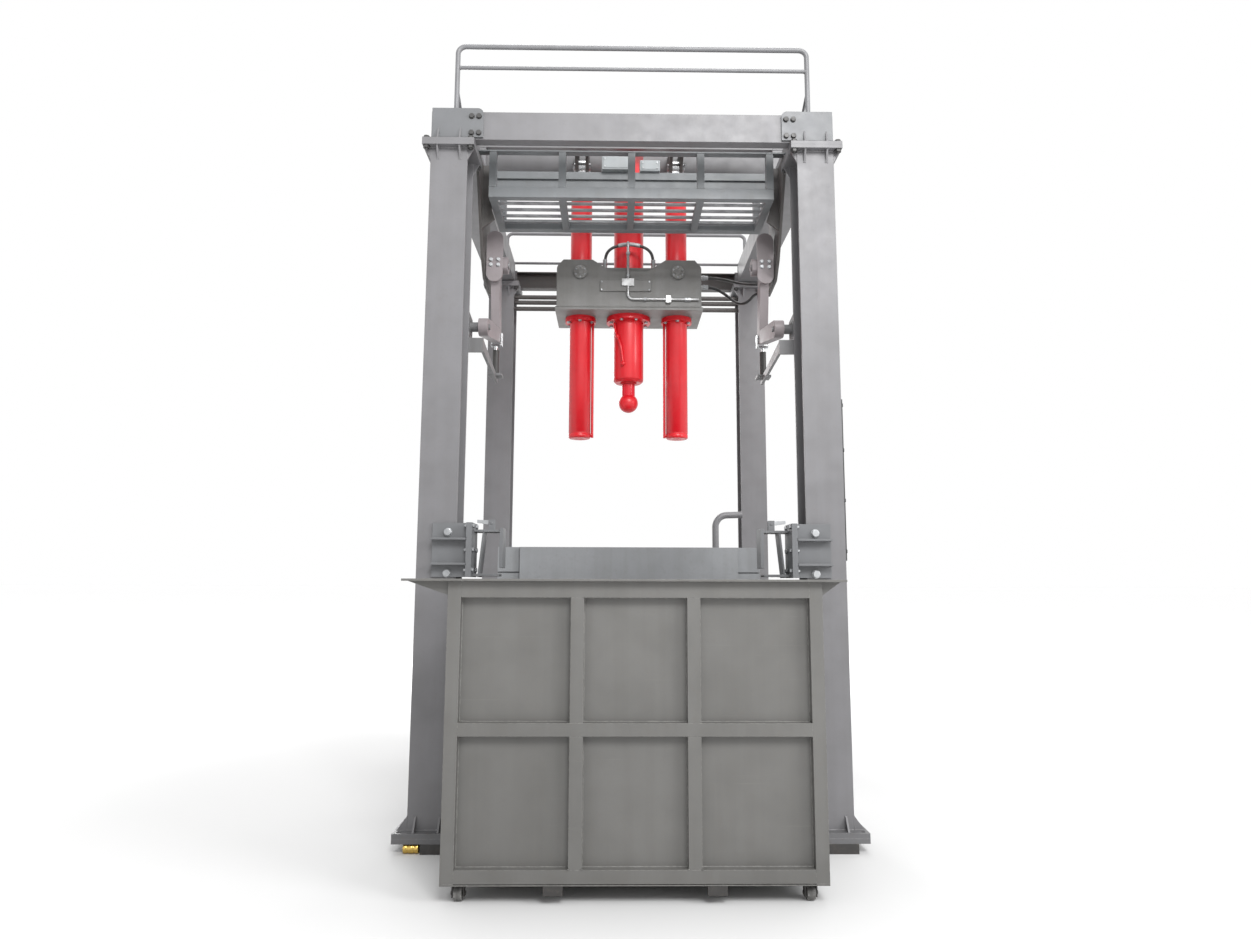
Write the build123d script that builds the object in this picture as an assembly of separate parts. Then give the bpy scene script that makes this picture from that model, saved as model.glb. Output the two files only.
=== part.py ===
from build123d import *
import os
from math import atan, degrees, hypot, radians, tan

# Vertical refuse compactor: a four-column press frame over a roll-out container.
# Millimetres, X to the right, Y to the back, Z up, origin on the floor under the middle.

# Frame
frame_width = 2750
frame_depth = 3000
column_top = 4560
column_size = 250
flange_wall = 17
web_wall = 10
root_radius = 24
# Feet
block_height = 60
block_length = 260
block_depth = 110
foot_plate_wall = 30
foot_overhang = 75
anchor_radius = 14
anchor_inset = 35
roller_length = 95
# Top of the frame
cap_wall = 25
cap_overhang = 50
top_beam_height = 200
top_beam_wall = 10
channel_flange = 80
rear_beam_height = 175
splice_reach = 100
splice_height = 230
splice_wall = 15
splice_bolt_columns = (30, 80)
splice_bolt_rows = (40, 160)
splice_bolt_radius = 10
gusset_wall = 12
gusset_height = 85
blade_spacing = 150
rear_tube_radius = 22
rear_tube_drops = (205, 140, 85)
# Guard rails
rail_rise = 530
rear_rail_rise = 370
mid_rail_drop = 175
rear_mid_rail_drop = 330
rail_width = 2470
rail_tube = 34
mid_rail_tube = 26
rail_bend = 55
# Gallery
gallery_front = 350
gallery_depth = 620
gallery_drop = 445
gallery_width = 2060
gallery_chord_height = 80
gallery_chord_depth = 60
gallery_bearer = 40
gallery_beam_lip = 25
gallery_beam_height = 60
gallery_shelf_height = 60
gallery_post = 52
gallery_bays = 4
slat_count = 5
slat_width = 34
slat_wall = 12
# Cylinders and their girders
girder_height = 200
girder_width = 100
girder_wall = 8
girder_gap = 340
girder_rise = 410
pin_drop = 35
pin_radius = 25
ear_wall = 25
cylinder_spacing = 810
side_barrel_radius = 90
side_bore_radius = 70
side_barrel_length = 2140
side_barrel_drop = 245
side_rod_radius = 40
main_barrel_radius = 125
main_bore_radius = 105
main_barrel_length = 2103
main_barrel_rise = 170
main_gland_height = 16
main_gland_collar = 12
main_rod_radius = 55
ball_radius = 80
ball_drop = 186
end_wall = 40
running_gap = 0.3
# Crosshead
crosshead_length = 1180
crosshead_depth = 460
crosshead_drop = 699
crosshead_height = 342
crosshead_wall = 30
saddle_wall = 30
saddle_shoulder = 57
saddle_dip = 41
saddle_corner = 50
saddle_outer = 300
saddle_inner = 150
crosshead_plate_wall = 25
crosshead_plate_margin = 15
# Container
container_width = 1990
container_reach = 900
container_depth = 1950
container_top = 1632
container_bottom = 96
container_skin = 8
container_bar = 50
container_bar_width = 70
container_rail_height = 68
container_mid_rail = 866
container_base_wall = 10
seam_depth = 12
seam_height = 4
lip_wall = 12
lip_front = 40
lip_left = 240
lip_right = 125
lip_side_length = 280
rear_beam_rise = 248
rear_beam_inset = 170
caster_inset = 85
wheel_radius = 38
wheel_width = 44
axle_radius = 10
wheel_bore_gap = 0.05
# Catch arms beside the crosshead
arm_inset = 90
arm_wall = 66
hanger_wall = 20
hanger_outline = [(-30, 1320), (620, 1320), (655, 690), (780, 660), (780, 495), (450, 520), (330, 640)]
pivot_pin_radius = 20
pivot_clearance = 80
pivot_drop = 1160
tail_reach = (620, 120)
head_reach = (520, 650)
arm_tail_radius = 50
arm_head_radius = 66
hub_length = 128
head_pin_radius = 15
pin_play = 1.5
arm_swing = 8
slot_length = 26
tongue_width = 125
tongue_wall = 20
tongue_below = 150
tongue_above = 250
actuator_radius = 25
actuator_rod_radius = 12
actuator_drop = 185
actuator_length = 190
# Column brackets
bracket_bottom = 1658
bracket_height = 344
bracket_wall = 18
bracket_bolt_radius = 14
joint_bolt_radius = 8

# Places worked out from the sizes
total_depth = container_reach + lip_front + frame_depth + foot_overhang
front = -total_depth / 2 + container_reach + lip_front
back = front + frame_depth
middle = (front + back) / 2
inner_x = frame_width / 2 - column_size
column_x = frame_width / 2 - column_size / 2
foot_top = block_height + 2 * foot_plate_wall
cap_top = column_top + 2 * cap_wall
beam_bottom = cap_top + 10
beam_top = beam_bottom + top_beam_height
rail_top = beam_top + rail_rise
rear_rail_top = beam_top + rear_rail_rise
gallery_floor = beam_top - gallery_drop
girder_bottom = beam_top + girder_rise
pin_height = girder_bottom - pin_drop
cylinder_x = cylinder_spacing / 2
side_barrel_top = pin_height - side_barrel_drop
side_barrel_bottom = side_barrel_top - side_barrel_length
main_barrel_top = girder_bottom + main_barrel_rise
main_barrel_bottom = main_barrel_top - main_barrel_length
ball_height = main_barrel_bottom - ball_drop
crosshead_bottom = column_top - crosshead_drop
crosshead_top = crosshead_bottom + crosshead_height
arm_plane = inner_x - arm_inset
hub_start = arm_plane + arm_wall / 2 - hub_length
pivot = (column_size + pivot_clearance, column_top - pivot_drop)
arm_tail = (pivot[0] + tail_reach[0], pivot[1] + tail_reach[1])
arm_head = (pivot[0] + head_reach[0], pivot[1] + head_reach[1])
tongue_bottom = arm_head[1] - tongue_below
tongue_top = arm_head[1] + tongue_above
actuator_foot = pivot[1] - actuator_drop
splice_width = column_size + splice_reach
bracket_bolt_x = inner_x + 50
corners = [(sx, sy) for sy in (-1, 1) for sx in (-1, 1)]


def foot_y(side):
    """The middle of the front (-1) or rear (1) columns."""
    return middle + side * (frame_depth - column_size) / 2


def anchor_bolt_heights():
    """The two large bolts that hold a bracket on its column."""
    return bracket_bottom + 24, bracket_bottom + bracket_height - 60


def block(x0, x1, y0, y1, z0, z1):
    """A box given by its limits."""
    return Pos((x0 + x1) / 2, (y0 + y1) / 2, (z0 + z1) / 2) * Box(abs(x1 - x0), abs(y1 - y0), z1 - z0)


def rod_z(radius, x, y, z0, z1):
    """An upright round bar."""
    return Pos(x, y, (z0 + z1) / 2) * Cylinder(radius, z1 - z0)


def rod_x(radius, x0, x1, y, z):
    """A round bar along X."""
    return Pos((x0 + x1) / 2, y, z) * Rot(0, 90, 0) * Cylinder(radius, abs(x1 - x0))


def rod_y(radius, x, y0, y1, z):
    """A round bar along Y."""
    return Pos(x, (y0 + y1) / 2, z) * Rot(90, 0, 0) * Cylinder(radius, abs(y1 - y0))


def plate_yz(points, x0, x1, round_corners=0):
    """A plate that stands in the YZ plane, from x0 to x1."""
    face = make_face(Polyline(*points, close=True))
    if round_corners:
        face = fillet(face.vertices(), round_corners)
    low = min(x0, x1)
    return Pos(low, 0, 0) * extrude(Plane.YZ * face, abs(x1 - x0))


def plate_xz(points, y0, y1):
    """A plate that stands in the XZ plane, from y0 to y1."""
    face = make_face(Polyline(*points, close=True))
    return Pos(0, max(y0, y1), 0) * extrude(Plane.XZ * face, abs(y1 - y0))


def tube_x(x0, x1, y0, y1, z0, z1, wall):
    """A rectangular hollow section along X."""
    hollow = block(x0 - 1, x1 + 1, y0 + wall, y1 - wall, z0 + wall, z1 - wall)
    return block(x0, x1, y0, y1, z0, z1) - hollow


def tube_y(x0, x1, y0, y1, z0, z1, wall):
    """A rectangular hollow section along Y."""
    hollow = block(x0 + wall, x1 - wall, y0 - 1, y1 + 1, z0 + wall, z1 - wall)
    return block(x0, x1, y0, y1, z0, z1) - hollow


def tube_z(x0, x1, y0, y1, z0, z1, wall):
    """A rectangular hollow section that stands upright."""
    hollow = block(x0 + wall, x1 - wall, y0 + wall, y1 - wall, z0 - 1, z1 + 1)
    return block(x0, x1, y0, y1, z0, z1) - hollow


def h_section(x, y, z0, z1):
    """A wide-flange column with its flanges to the front and the back."""
    recess = column_size - 2 * flange_wall
    reach = column_size / 2 + 2 * root_radius
    pocket_width = reach - web_wall / 2
    pocket_x = (reach + web_wall / 2) / 2
    outline = Rectangle(column_size, column_size)
    for side in (-1, 1):
        outline -= Pos(side * pocket_x, 0) * RectangleRounded(pocket_width, recess, root_radius)
    return Pos(x, y, z0) * extrude(outline, z1 - z0)


def bolt(radius, x, y, z, direction, grip):
    """A hexagon bolt and its nut; the head's seat is at the place, the shank runs along direction."""
    head = extrude(RegularPolygon(1.8 * radius, 6), -1.3 * radius)
    shank = extrude(Circle(radius), grip + 2 * radius)
    nut_face = RegularPolygon(1.8 * radius, 6) - Circle(radius + running_gap)
    nut = Pos(0, 0, grip) * extrude(nut_face, 1.6 * radius)
    place = Plane(origin=(x, y, z), z_dir=direction)
    return [place * (head + shank), place * nut]


def link_plate(start, end, start_radius, end_radius, x0, x1):
    """A flat bar in the YZ plane that tapers between two round ends."""
    run = Vector(end[0] - start[0], end[1] - start[1])
    side = Vector(-run.Y, run.X).normalized()
    corners_2d = [
        (start[0] + side.X * start_radius, start[1] + side.Y * start_radius),
        (end[0] + side.X * end_radius, end[1] + side.Y * end_radius),
        (end[0] - side.X * end_radius, end[1] - side.Y * end_radius),
        (start[0] - side.X * start_radius, start[1] - side.Y * start_radius),
    ]
    flat = plate_yz(corners_2d, x0, x1)
    return flat + rod_x(start_radius, x0, x1, *start) + rod_x(end_radius, x0, x1, *end)


def hose(points, diameter):
    """A round hose along straight runs joined by the largest tangent arcs they allow."""
    knots = [Vector(*point) for point in points]
    radii = []
    for before, corner, after in zip(knots, knots[1:], knots[2:]):
        first = corner - before
        second = after - corner
        turn = radians(first.get_angle(second))
        radii.append(0.45 * min(first.length, second.length) / tan(turn / 2))
    path = FilletPolyline(*points, radius=radii)
    section = Plane(origin=path @ 0, z_dir=path % 0) * Circle(diameter / 2)
    return sweep(section, path=path)


def bent_tube(points, radius, diameter, wall):
    """A rigid tube along straight runs with one bend radius."""
    path = FilletPolyline(*points, radius=radius)
    start = Plane(origin=path @ 0, z_dir=path % 0)
    outside = sweep(start * Circle(diameter / 2), path=path)
    inside = sweep(start * Circle(diameter / 2 - wall), path=path)
    return outside - inside


def both_sides(shape):
    """The shape and its mirror image across the middle of the frame."""
    return [shape, mirror(shape, about=Plane.YZ)]


def save(name, solids):
    """Write one node; a group of like pieces is one file."""
    pieces = [solid for shape in solids for solid in shape.solids()]
    export_step(pieces[0] if len(pieces) == 1 else Compound(children=pieces), f"parts/{name}.step")


def make_columns():
    for name, side, end in (("front_left", -1, -1), ("front_right", 1, -1),
                            ("rear_left", -1, 1), ("rear_right", 1, 1)):
        column = h_section(side * column_x, foot_y(end), foot_top, column_top)
        if end == -1:
            hole = bracket_bolt_radius + 1
            for z in anchor_bolt_heights():
                column -= rod_y(hole, side * bracket_bolt_x, front - 1, front + flange_wall + 1, z)
        save(f"column_{name}", [column])


def make_feet():
    half = column_size / 2 + foot_overhang
    hole = half - anchor_inset
    plates = []
    blocks = []
    for side, end in corners:
        x = side * column_x
        y = foot_y(end)
        for layer in range(2):
            low = block_height + layer * foot_plate_wall
            plate = block(x - half, x + half, y - half, y + half, low, low + foot_plate_wall)
            high = low + foot_plate_wall
            for hx, hy in corners:
                plate -= rod_z(anchor_radius, x + hx * hole, y + hy * hole, low - 1, high + 1)
            plates.append(plate)
        for edge in (-1, 1):
            inner = y + edge * (half - block_depth)
            outer = y + edge * half
            left = x - block_length / 2
            if (side, end, edge) == (-1, -1, -1):
                left += roller_length + 10
            right = x + block_length / 2
            blocks.append(block(left, right, min(inner, outer), max(inner, outer), 0, block_height))
    save("foot_plates", plates)
    save("packing_blocks", blocks)
    roller_radius = block_height / 2 - 0.5
    start = -column_x - block_length / 2
    roller_y = foot_y(-1) - half + roller_radius + 2
    roller = rod_x(roller_radius, start, start + roller_length, roller_y, roller_radius)
    save("levelling_roller", [roller])


def make_gussets():
    """Triangles that stiffen each column's foot and its head, and blades above the head."""
    reach = foot_overhang - 12
    cap_reach = cap_overhang - 8
    blade_x = blade_spacing / 2
    half = column_size / 2
    pieces = []
    for side, end in corners:
        x = side * column_x
        y = foot_y(end)
        for hand in (-1, 1):
            for depth in (-1, 1):
                edge_x = x + hand * half
                flange_y = y + depth * (half - flange_wall / 2)
                low = [(edge_x, foot_top), (edge_x + hand * reach, foot_top),
                       (edge_x, foot_top + gusset_height)]
                high = [(edge_x, column_top), (edge_x + hand * cap_reach, column_top),
                        (edge_x, column_top - gusset_height)]
                for triangle in (low, high):
                    pieces.append(plate_xz(triangle, flange_y - gusset_wall / 2, flange_y + gusset_wall / 2))
                face_y = y + depth * half
                blade = x + hand * blade_x
                low = [(face_y, foot_top), (face_y + depth * reach, foot_top),
                       (face_y, foot_top + gusset_height)]
                high = [(face_y, column_top), (face_y + depth * cap_reach, column_top),
                        (face_y, column_top - gusset_height)]
                triangles = [low, high]
                if depth == end:
                    root_y = face_y + depth * (splice_wall if end == -1 else 0)
                    triangles.append([(root_y, cap_top), (face_y + depth * cap_reach, cap_top),
                                      (root_y, cap_top + gusset_height)])
                for triangle in triangles:
                    pieces.append(plate_yz(triangle, blade - gusset_wall / 2, blade + gusset_wall / 2))
    save("gusset_plates", pieces)


def make_head_plates():
    """The two bolted flange plates on each column, with the frame's bolts."""
    half = column_size / 2 + cap_overhang
    hole = half - 25
    shank = 12
    plates = []
    bolts = []
    for side, end in corners:
        x = side * column_x
        y = foot_y(end)
        for layer in range(2):
            low = column_top + layer * cap_wall
            plate = block(x - half, x + half, y - half, y + half, low, low + cap_wall)
            for hx, hy in corners:
                plate -= rod_z(shank + 1, x + hx * hole, y + hy * hole, low - 1, low + cap_wall + 1)
            plates.append(plate)
        for hx, hy in corners:
            bolts += bolt(shank, x + hx * hole, y + hy * hole, cap_top, (0, 0, -1), 2 * cap_wall)
    save("cap_plates", plates)
    return bolts


def make_top_frame(bolts):
    half = column_size / 2
    posts = [h_section(side * column_x, foot_y(end), cap_top, beam_top) for side, end in corners]
    save("corner_posts", posts)
    wall = top_beam_wall

    def channel(y_web, direction, z0, z1, x_end):
        web = block(-x_end, x_end, y_web, y_web + direction * wall, z0, z1)
        low = block(-x_end, x_end, y_web, y_web + direction * channel_flange, z0, z0 + wall)
        high = block(-x_end, x_end, y_web, y_web + direction * channel_flange, z1 - wall, z1)
        return web + low + high

    save("front_top_beam", [splice_holes(channel(front, 1, beam_bottom, beam_top, inner_x))])
    rear = channel(back, -1, cap_top, cap_top + rear_beam_height, inner_x)
    sides = tube_y(inner_x, inner_x + column_size, front + column_size, back - column_size,
                   beam_bottom, beam_top, top_beam_wall)
    save("side_top_beams", both_sides(sides))
    outer = frame_width / 2 - 5
    top = cap_top + splice_height
    flat = block(outer - splice_width, outer, front - splice_wall, front, cap_top + 20, top)
    inner_edge = flat.edges().filter_by(Axis.Y).sort_by(Axis.X)[:2].sort_by(Axis.Z)[-1]
    plate = splice_holes(fillet(inner_edge, 40))
    save("splice_plates", both_sides(plate))
    for side in (-1, 1):
        for bx, bz in splice_places():
            bolts += bolt(splice_bolt_radius, side * bx, front - splice_wall, bz, (0, 1, 0),
                          splice_wall + wall)
    tubes = []
    tube_y_mid = foot_y(1) - half + flange_wall + 40
    for drop in rear_tube_drops:
        tubes.append(rod_x(rear_tube_radius, -inner_x - 60, inner_x + 60, tube_y_mid, column_top - drop))
    save("rear_top_beam", [rear] + tubes)


def splice_places():
    """The bolts that join a splice plate to the front beam, on the right-hand side."""
    outer = frame_width / 2 - 5
    start = outer - splice_width
    return [(start + dx, beam_bottom + dz) for dx in splice_bolt_columns for dz in splice_bolt_rows]


def splice_holes(shape):
    """The shape with the splice bolts' holes cut through it, on both sides."""
    for hand in (-1, 1):
        for bx, bz in splice_places():
            shape -= rod_y(splice_bolt_radius + 1, hand * bx, front - splice_wall - 1,
                           front + top_beam_wall + 1, bz)
    return shape


def guard_rail(y, base, top, mid):
    """A bent tube hoop with a middle rail; it stands on the top frame."""
    half = rail_width / 2 - rail_tube / 2
    hoop_top = top - rail_tube / 2
    path = [(-half, y, base), (-half, y, hoop_top), (half, y, hoop_top), (half, y, base)]
    hoop = bent_tube(path, rail_bend, rail_tube, 3)
    rail = rod_x(mid_rail_tube / 2, -half, half, y, mid)
    hollow = [rod_z(rail_tube / 2 - 3, side * half, y, base + 1, mid + 100) for side in (-1, 1)]
    return hoop + (rail - hollow[0] - hollow[1])


def make_guard_rails():
    front_y = foot_y(-1) - column_size / 2 + 45
    save("front_guard_rail", [guard_rail(front_y, beam_top, rail_top, rail_top - mid_rail_drop)])
    rear_y = foot_y(1)
    rear_mid = rear_rail_top - rear_mid_rail_drop
    save("rear_guard_rail", [guard_rail(rear_y, beam_top, rear_rail_top, rear_mid)])


def make_gallery():
    half = gallery_width / 2
    y0 = front + gallery_front
    y1 = y0 + gallery_depth
    chord_top = gallery_floor + gallery_chord_height
    flange_low = beam_top - 95
    rear_depth = 60
    lip_low = flange_low - gallery_beam_lip
    shelf_low = flange_low + gallery_beam_height
    shelf = shelf_low + gallery_shelf_height
    rear_beam = block(-inner_x, inner_x, y1 - rear_depth, y1, flange_low, shelf_low)
    rear_beam += block(-half, half, y1 - rear_depth, y1, lip_low, flange_low)
    pieces = [
        block(-inner_x, inner_x, y0, y0 + 60, flange_low, flange_low + 10),
        rear_beam,
        block(-inner_x, inner_x, y1 - rear_depth - 20, y1, shelf_low, shelf),
        block(-half, half, y0, y0 + gallery_chord_depth, gallery_floor, chord_top),
        block(-half, half, y1 - rear_depth, y1, gallery_floor, chord_top),
    ]
    pitch = (gallery_width - gallery_post) / gallery_bays
    for bay in range(gallery_bays + 1):
        x = -half + gallery_post / 2 + bay * pitch
        left = x - gallery_post / 2
        right = x + gallery_post / 2
        pieces.append(block(left, right, y0, y0 + gallery_post, chord_top, flange_low))
        pieces.append(block(left, right, y0 + gallery_chord_depth, y1 - rear_depth,
                            gallery_floor, gallery_floor + gallery_bearer))
        if bay in (0, gallery_bays):
            pieces.append(block(left, right, y1 - rear_depth, y1, chord_top, lip_low))
    save("gallery_frame", pieces)
    first = y0 + gallery_chord_depth + 15
    last = y1 - rear_depth - 15 - slat_width
    step = (last - first) / (slat_count - 1)
    slat_low = gallery_floor + gallery_bearer
    slats = []
    for number in range(slat_count):
        near = first + number * step
        slats.append(block(-half, half, near, near + slat_width, slat_low, slat_low + slat_wall))
    save("gallery_slats", slats)
    boxes = [block(-225, 15, y1 - 130, y1, shelf, shelf + 110),
             block(75, 235, y1 - 110, y1, shelf, shelf + 90)]
    save("valve_boxes", [fillet(box.edges(), 6) for box in boxes])


def make_girders():
    """Two beams across the frame on short posts, with the clevises that hold the side rods."""
    posts = []
    for side in (-1, 1):
        y_mid = middle + side * (girder_gap / 2 + girder_width / 2)
        low = y_mid - girder_width / 2
        high = y_mid + girder_width / 2
        posts.append(tube_x(-column_x - 60, column_x + 60, low, high, girder_bottom,
                            girder_bottom + girder_height, girder_wall))
        for hand in (-1, 1):
            x = hand * column_x
            posts.append(tube_z(x - 50, x + 50, low, high, beam_top, girder_bottom, girder_wall))
    save("cylinder_girders", posts)
    eye_half = 30
    ears = []
    pins = []
    rods = []
    half_gap = girder_gap / 2
    for side in (-1, 1):
        x = side * cylinder_x
        for hand in (-1, 1):
            inner = x + hand * (eye_half + 2)
            outer = inner + hand * ear_wall
            outline = [(middle - half_gap, girder_bottom + 150), (middle - half_gap, girder_bottom + 20),
                       (middle - 60, pin_height - 60), (middle + 60, pin_height - 60),
                       (middle + half_gap, girder_bottom + 20), (middle + half_gap, girder_bottom + 150)]
            ear = plate_yz(outline, inner, outer)
            ears.append(ear - rod_x(pin_radius + running_gap, inner - 99, outer + 99, middle, pin_height))
        reach = eye_half + 2 + ear_wall
        pin = rod_x(pin_radius, x - reach - 12, x + reach + 12, middle, pin_height)
        heads = [rod_x(pin_radius + 10, x + hand * (reach + 2), x + hand * (reach + 14), middle, pin_height)
                 for hand in (-1, 1)]
        pins.append(pin + heads[0] + heads[1])
        eye = rod_x(55, x - eye_half, x + eye_half, middle, pin_height)
        piston_low = side_barrel_bottom + end_wall + 10
        piston = rod_z(side_bore_radius - running_gap, x, middle, piston_low, piston_low + 60)
        neck_low = pin_height - 60 - 10
        neck = block(x - eye_half, x + eye_half, middle - 36, middle + 36, neck_low, pin_height)
        rod = rod_z(side_rod_radius, x, middle, piston_low, neck_low) + piston + eye + neck
        rods.append(rod - rod_x(pin_radius + running_gap, x - 99, x + 99, middle, pin_height))
    save("rod_clevises", ears)
    save("clevis_pins", pins)
    save("side_rods", rods)


def make_crosshead():
    half = crosshead_length / 2
    half_y = crosshead_depth / 2
    inner = crosshead_wall
    shell = block(-half, half, middle - half_y, middle + half_y, crosshead_bottom, crosshead_top)
    shell -= block(-half + inner, half - inner, middle - half_y + inner, middle + half_y - inner,
                   crosshead_bottom + inner, crosshead_top - inner)
    bores = [(-cylinder_x, side_barrel_radius), (0, main_barrel_radius), (cylinder_x, side_barrel_radius)]
    plate_low = crosshead_bottom - crosshead_plate_wall
    for x, radius in bores:
        shell -= rod_z(radius + running_gap, x, middle, plate_low, crosshead_top + 1)
    save("crosshead_block", [shell])
    reach_x = half + crosshead_plate_margin
    reach_y = half_y + saddle_wall
    plate = block(-reach_x, reach_x, middle - reach_y, middle + reach_y, plate_low, crosshead_bottom)
    for x, radius in bores:
        plate -= rod_z(radius + running_gap, x, middle, plate_low - 1, crosshead_bottom + 1)
    save("crosshead_base_plate", [plate])
    shoulder_top = crosshead_top + saddle_shoulder
    dip = crosshead_top - saddle_dip
    outline = [(-half, crosshead_bottom), (half, crosshead_bottom), (half, crosshead_top),
               (half - saddle_corner, shoulder_top), (saddle_outer, shoulder_top), (saddle_inner, dip),
               (-saddle_inner, dip), (-saddle_outer, shoulder_top), (-half + saddle_corner, shoulder_top),
               (-half, crosshead_top)]
    saddles = []
    for side in (-1, 1):
        near = middle + side * half_y
        saddles.append(plate_xz(outline, near, near + side * saddle_wall))
    save("saddle_plates", saddles)


def make_cylinders():
    barrels = []
    pipes = []
    glands = []
    flanges = []
    bolts = []
    plate_low = crosshead_bottom - crosshead_plate_wall
    flange_low = plate_low - 40
    for side in (-1, 1):
        x = side * cylinder_x
        barrel = rod_z(side_barrel_radius, x, middle, side_barrel_bottom, side_barrel_top)
        bore_low = side_barrel_bottom + end_wall
        barrels.append(barrel - rod_z(side_bore_radius, x, middle, bore_low, side_barrel_top + 1))
        gland = rod_z(side_barrel_radius, x, middle, side_barrel_top, side_barrel_top + 35)
        gland += rod_z(side_bore_radius - running_gap, x, middle, side_barrel_top - 60, side_barrel_top)
        glands.append(gland - rod_z(side_rod_radius + running_gap, x, middle, side_barrel_top - 99,
                                    side_barrel_top + 99))
        pipe_x = x - side * (side_barrel_radius + 14)
        pipe_low = side_barrel_bottom + 30
        boss = rod_x(16, x - side * (side_barrel_radius - 6), pipe_x, middle, pipe_low)
        boss -= rod_z(side_barrel_radius + 0.2, x, middle, pipe_low - 50, pipe_low + 50)
        pipes.append(rod_z(11, pipe_x, middle, pipe_low - 22, plate_low) + boss)
    save("side_barrels", barrels)
    save("barrel_pipes", pipes)
    main = rod_z(main_barrel_radius, 0, middle, main_barrel_bottom, main_barrel_top)
    main -= rod_z(main_bore_radius, 0, middle, main_barrel_bottom - 1, main_barrel_top + 1)
    main += rod_z(main_barrel_radius, 0, middle, main_barrel_top - end_wall, main_barrel_top)
    save("main_barrel", [main])
    cone_low = main_barrel_bottom - main_gland_height
    cone = Pos(0, middle, main_barrel_bottom - main_gland_height / 2)
    cone *= Cone(main_barrel_radius - 18, main_barrel_radius - 2, main_gland_height)
    spigot = rod_z(main_bore_radius - running_gap, 0, middle, main_barrel_bottom, main_barrel_bottom + 60)
    collar = rod_z(main_rod_radius + 14, 0, middle, cone_low - main_gland_collar, cone_low)
    gland = cone + spigot + collar
    glands.append(gland - rod_z(main_rod_radius + running_gap, 0, middle, main_barrel_bottom - 200,
                                main_barrel_bottom + 200))
    save("cylinder_glands", glands)
    for x, radius, count in ((-cylinder_x, side_barrel_radius, 6), (0, main_barrel_radius, 8),
                             (cylinder_x, side_barrel_radius, 6)):
        outer = radius + 38 if x else radius + 60
        ring = rod_z(outer, x, middle, flange_low, plate_low)
        ring -= rod_z(radius + running_gap, x, middle, flange_low - 1, plate_low + 1)
        if x:
            ring -= rod_z(12, x - (radius + 14) * (1 if x > 0 else -1), middle, flange_low - 1, plate_low + 1)
        flanges.append(ring)
        for spot in PolarLocations((outer + radius) / 2 + 2, count, start_angle=180 / count):
            place = Pos(x, middle, flange_low) * spot
            bolts.append(place * extrude(RegularPolygon(14, 6), -13))
    save("cylinder_flanges", flanges)
    save("flange_bolts", bolts)


def make_ram():
    piston_top = main_barrel_top - end_wall - 60
    rod = rod_z(main_rod_radius, 0, middle, ball_height, piston_top)
    rod += rod_z(main_bore_radius - running_gap, 0, middle, piston_top - 90, piston_top)
    ball = Pos(0, middle, ball_height) * Sphere(ball_radius)
    save("main_rod", [rod - ball])
    save("ball_end", [ball])


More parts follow.
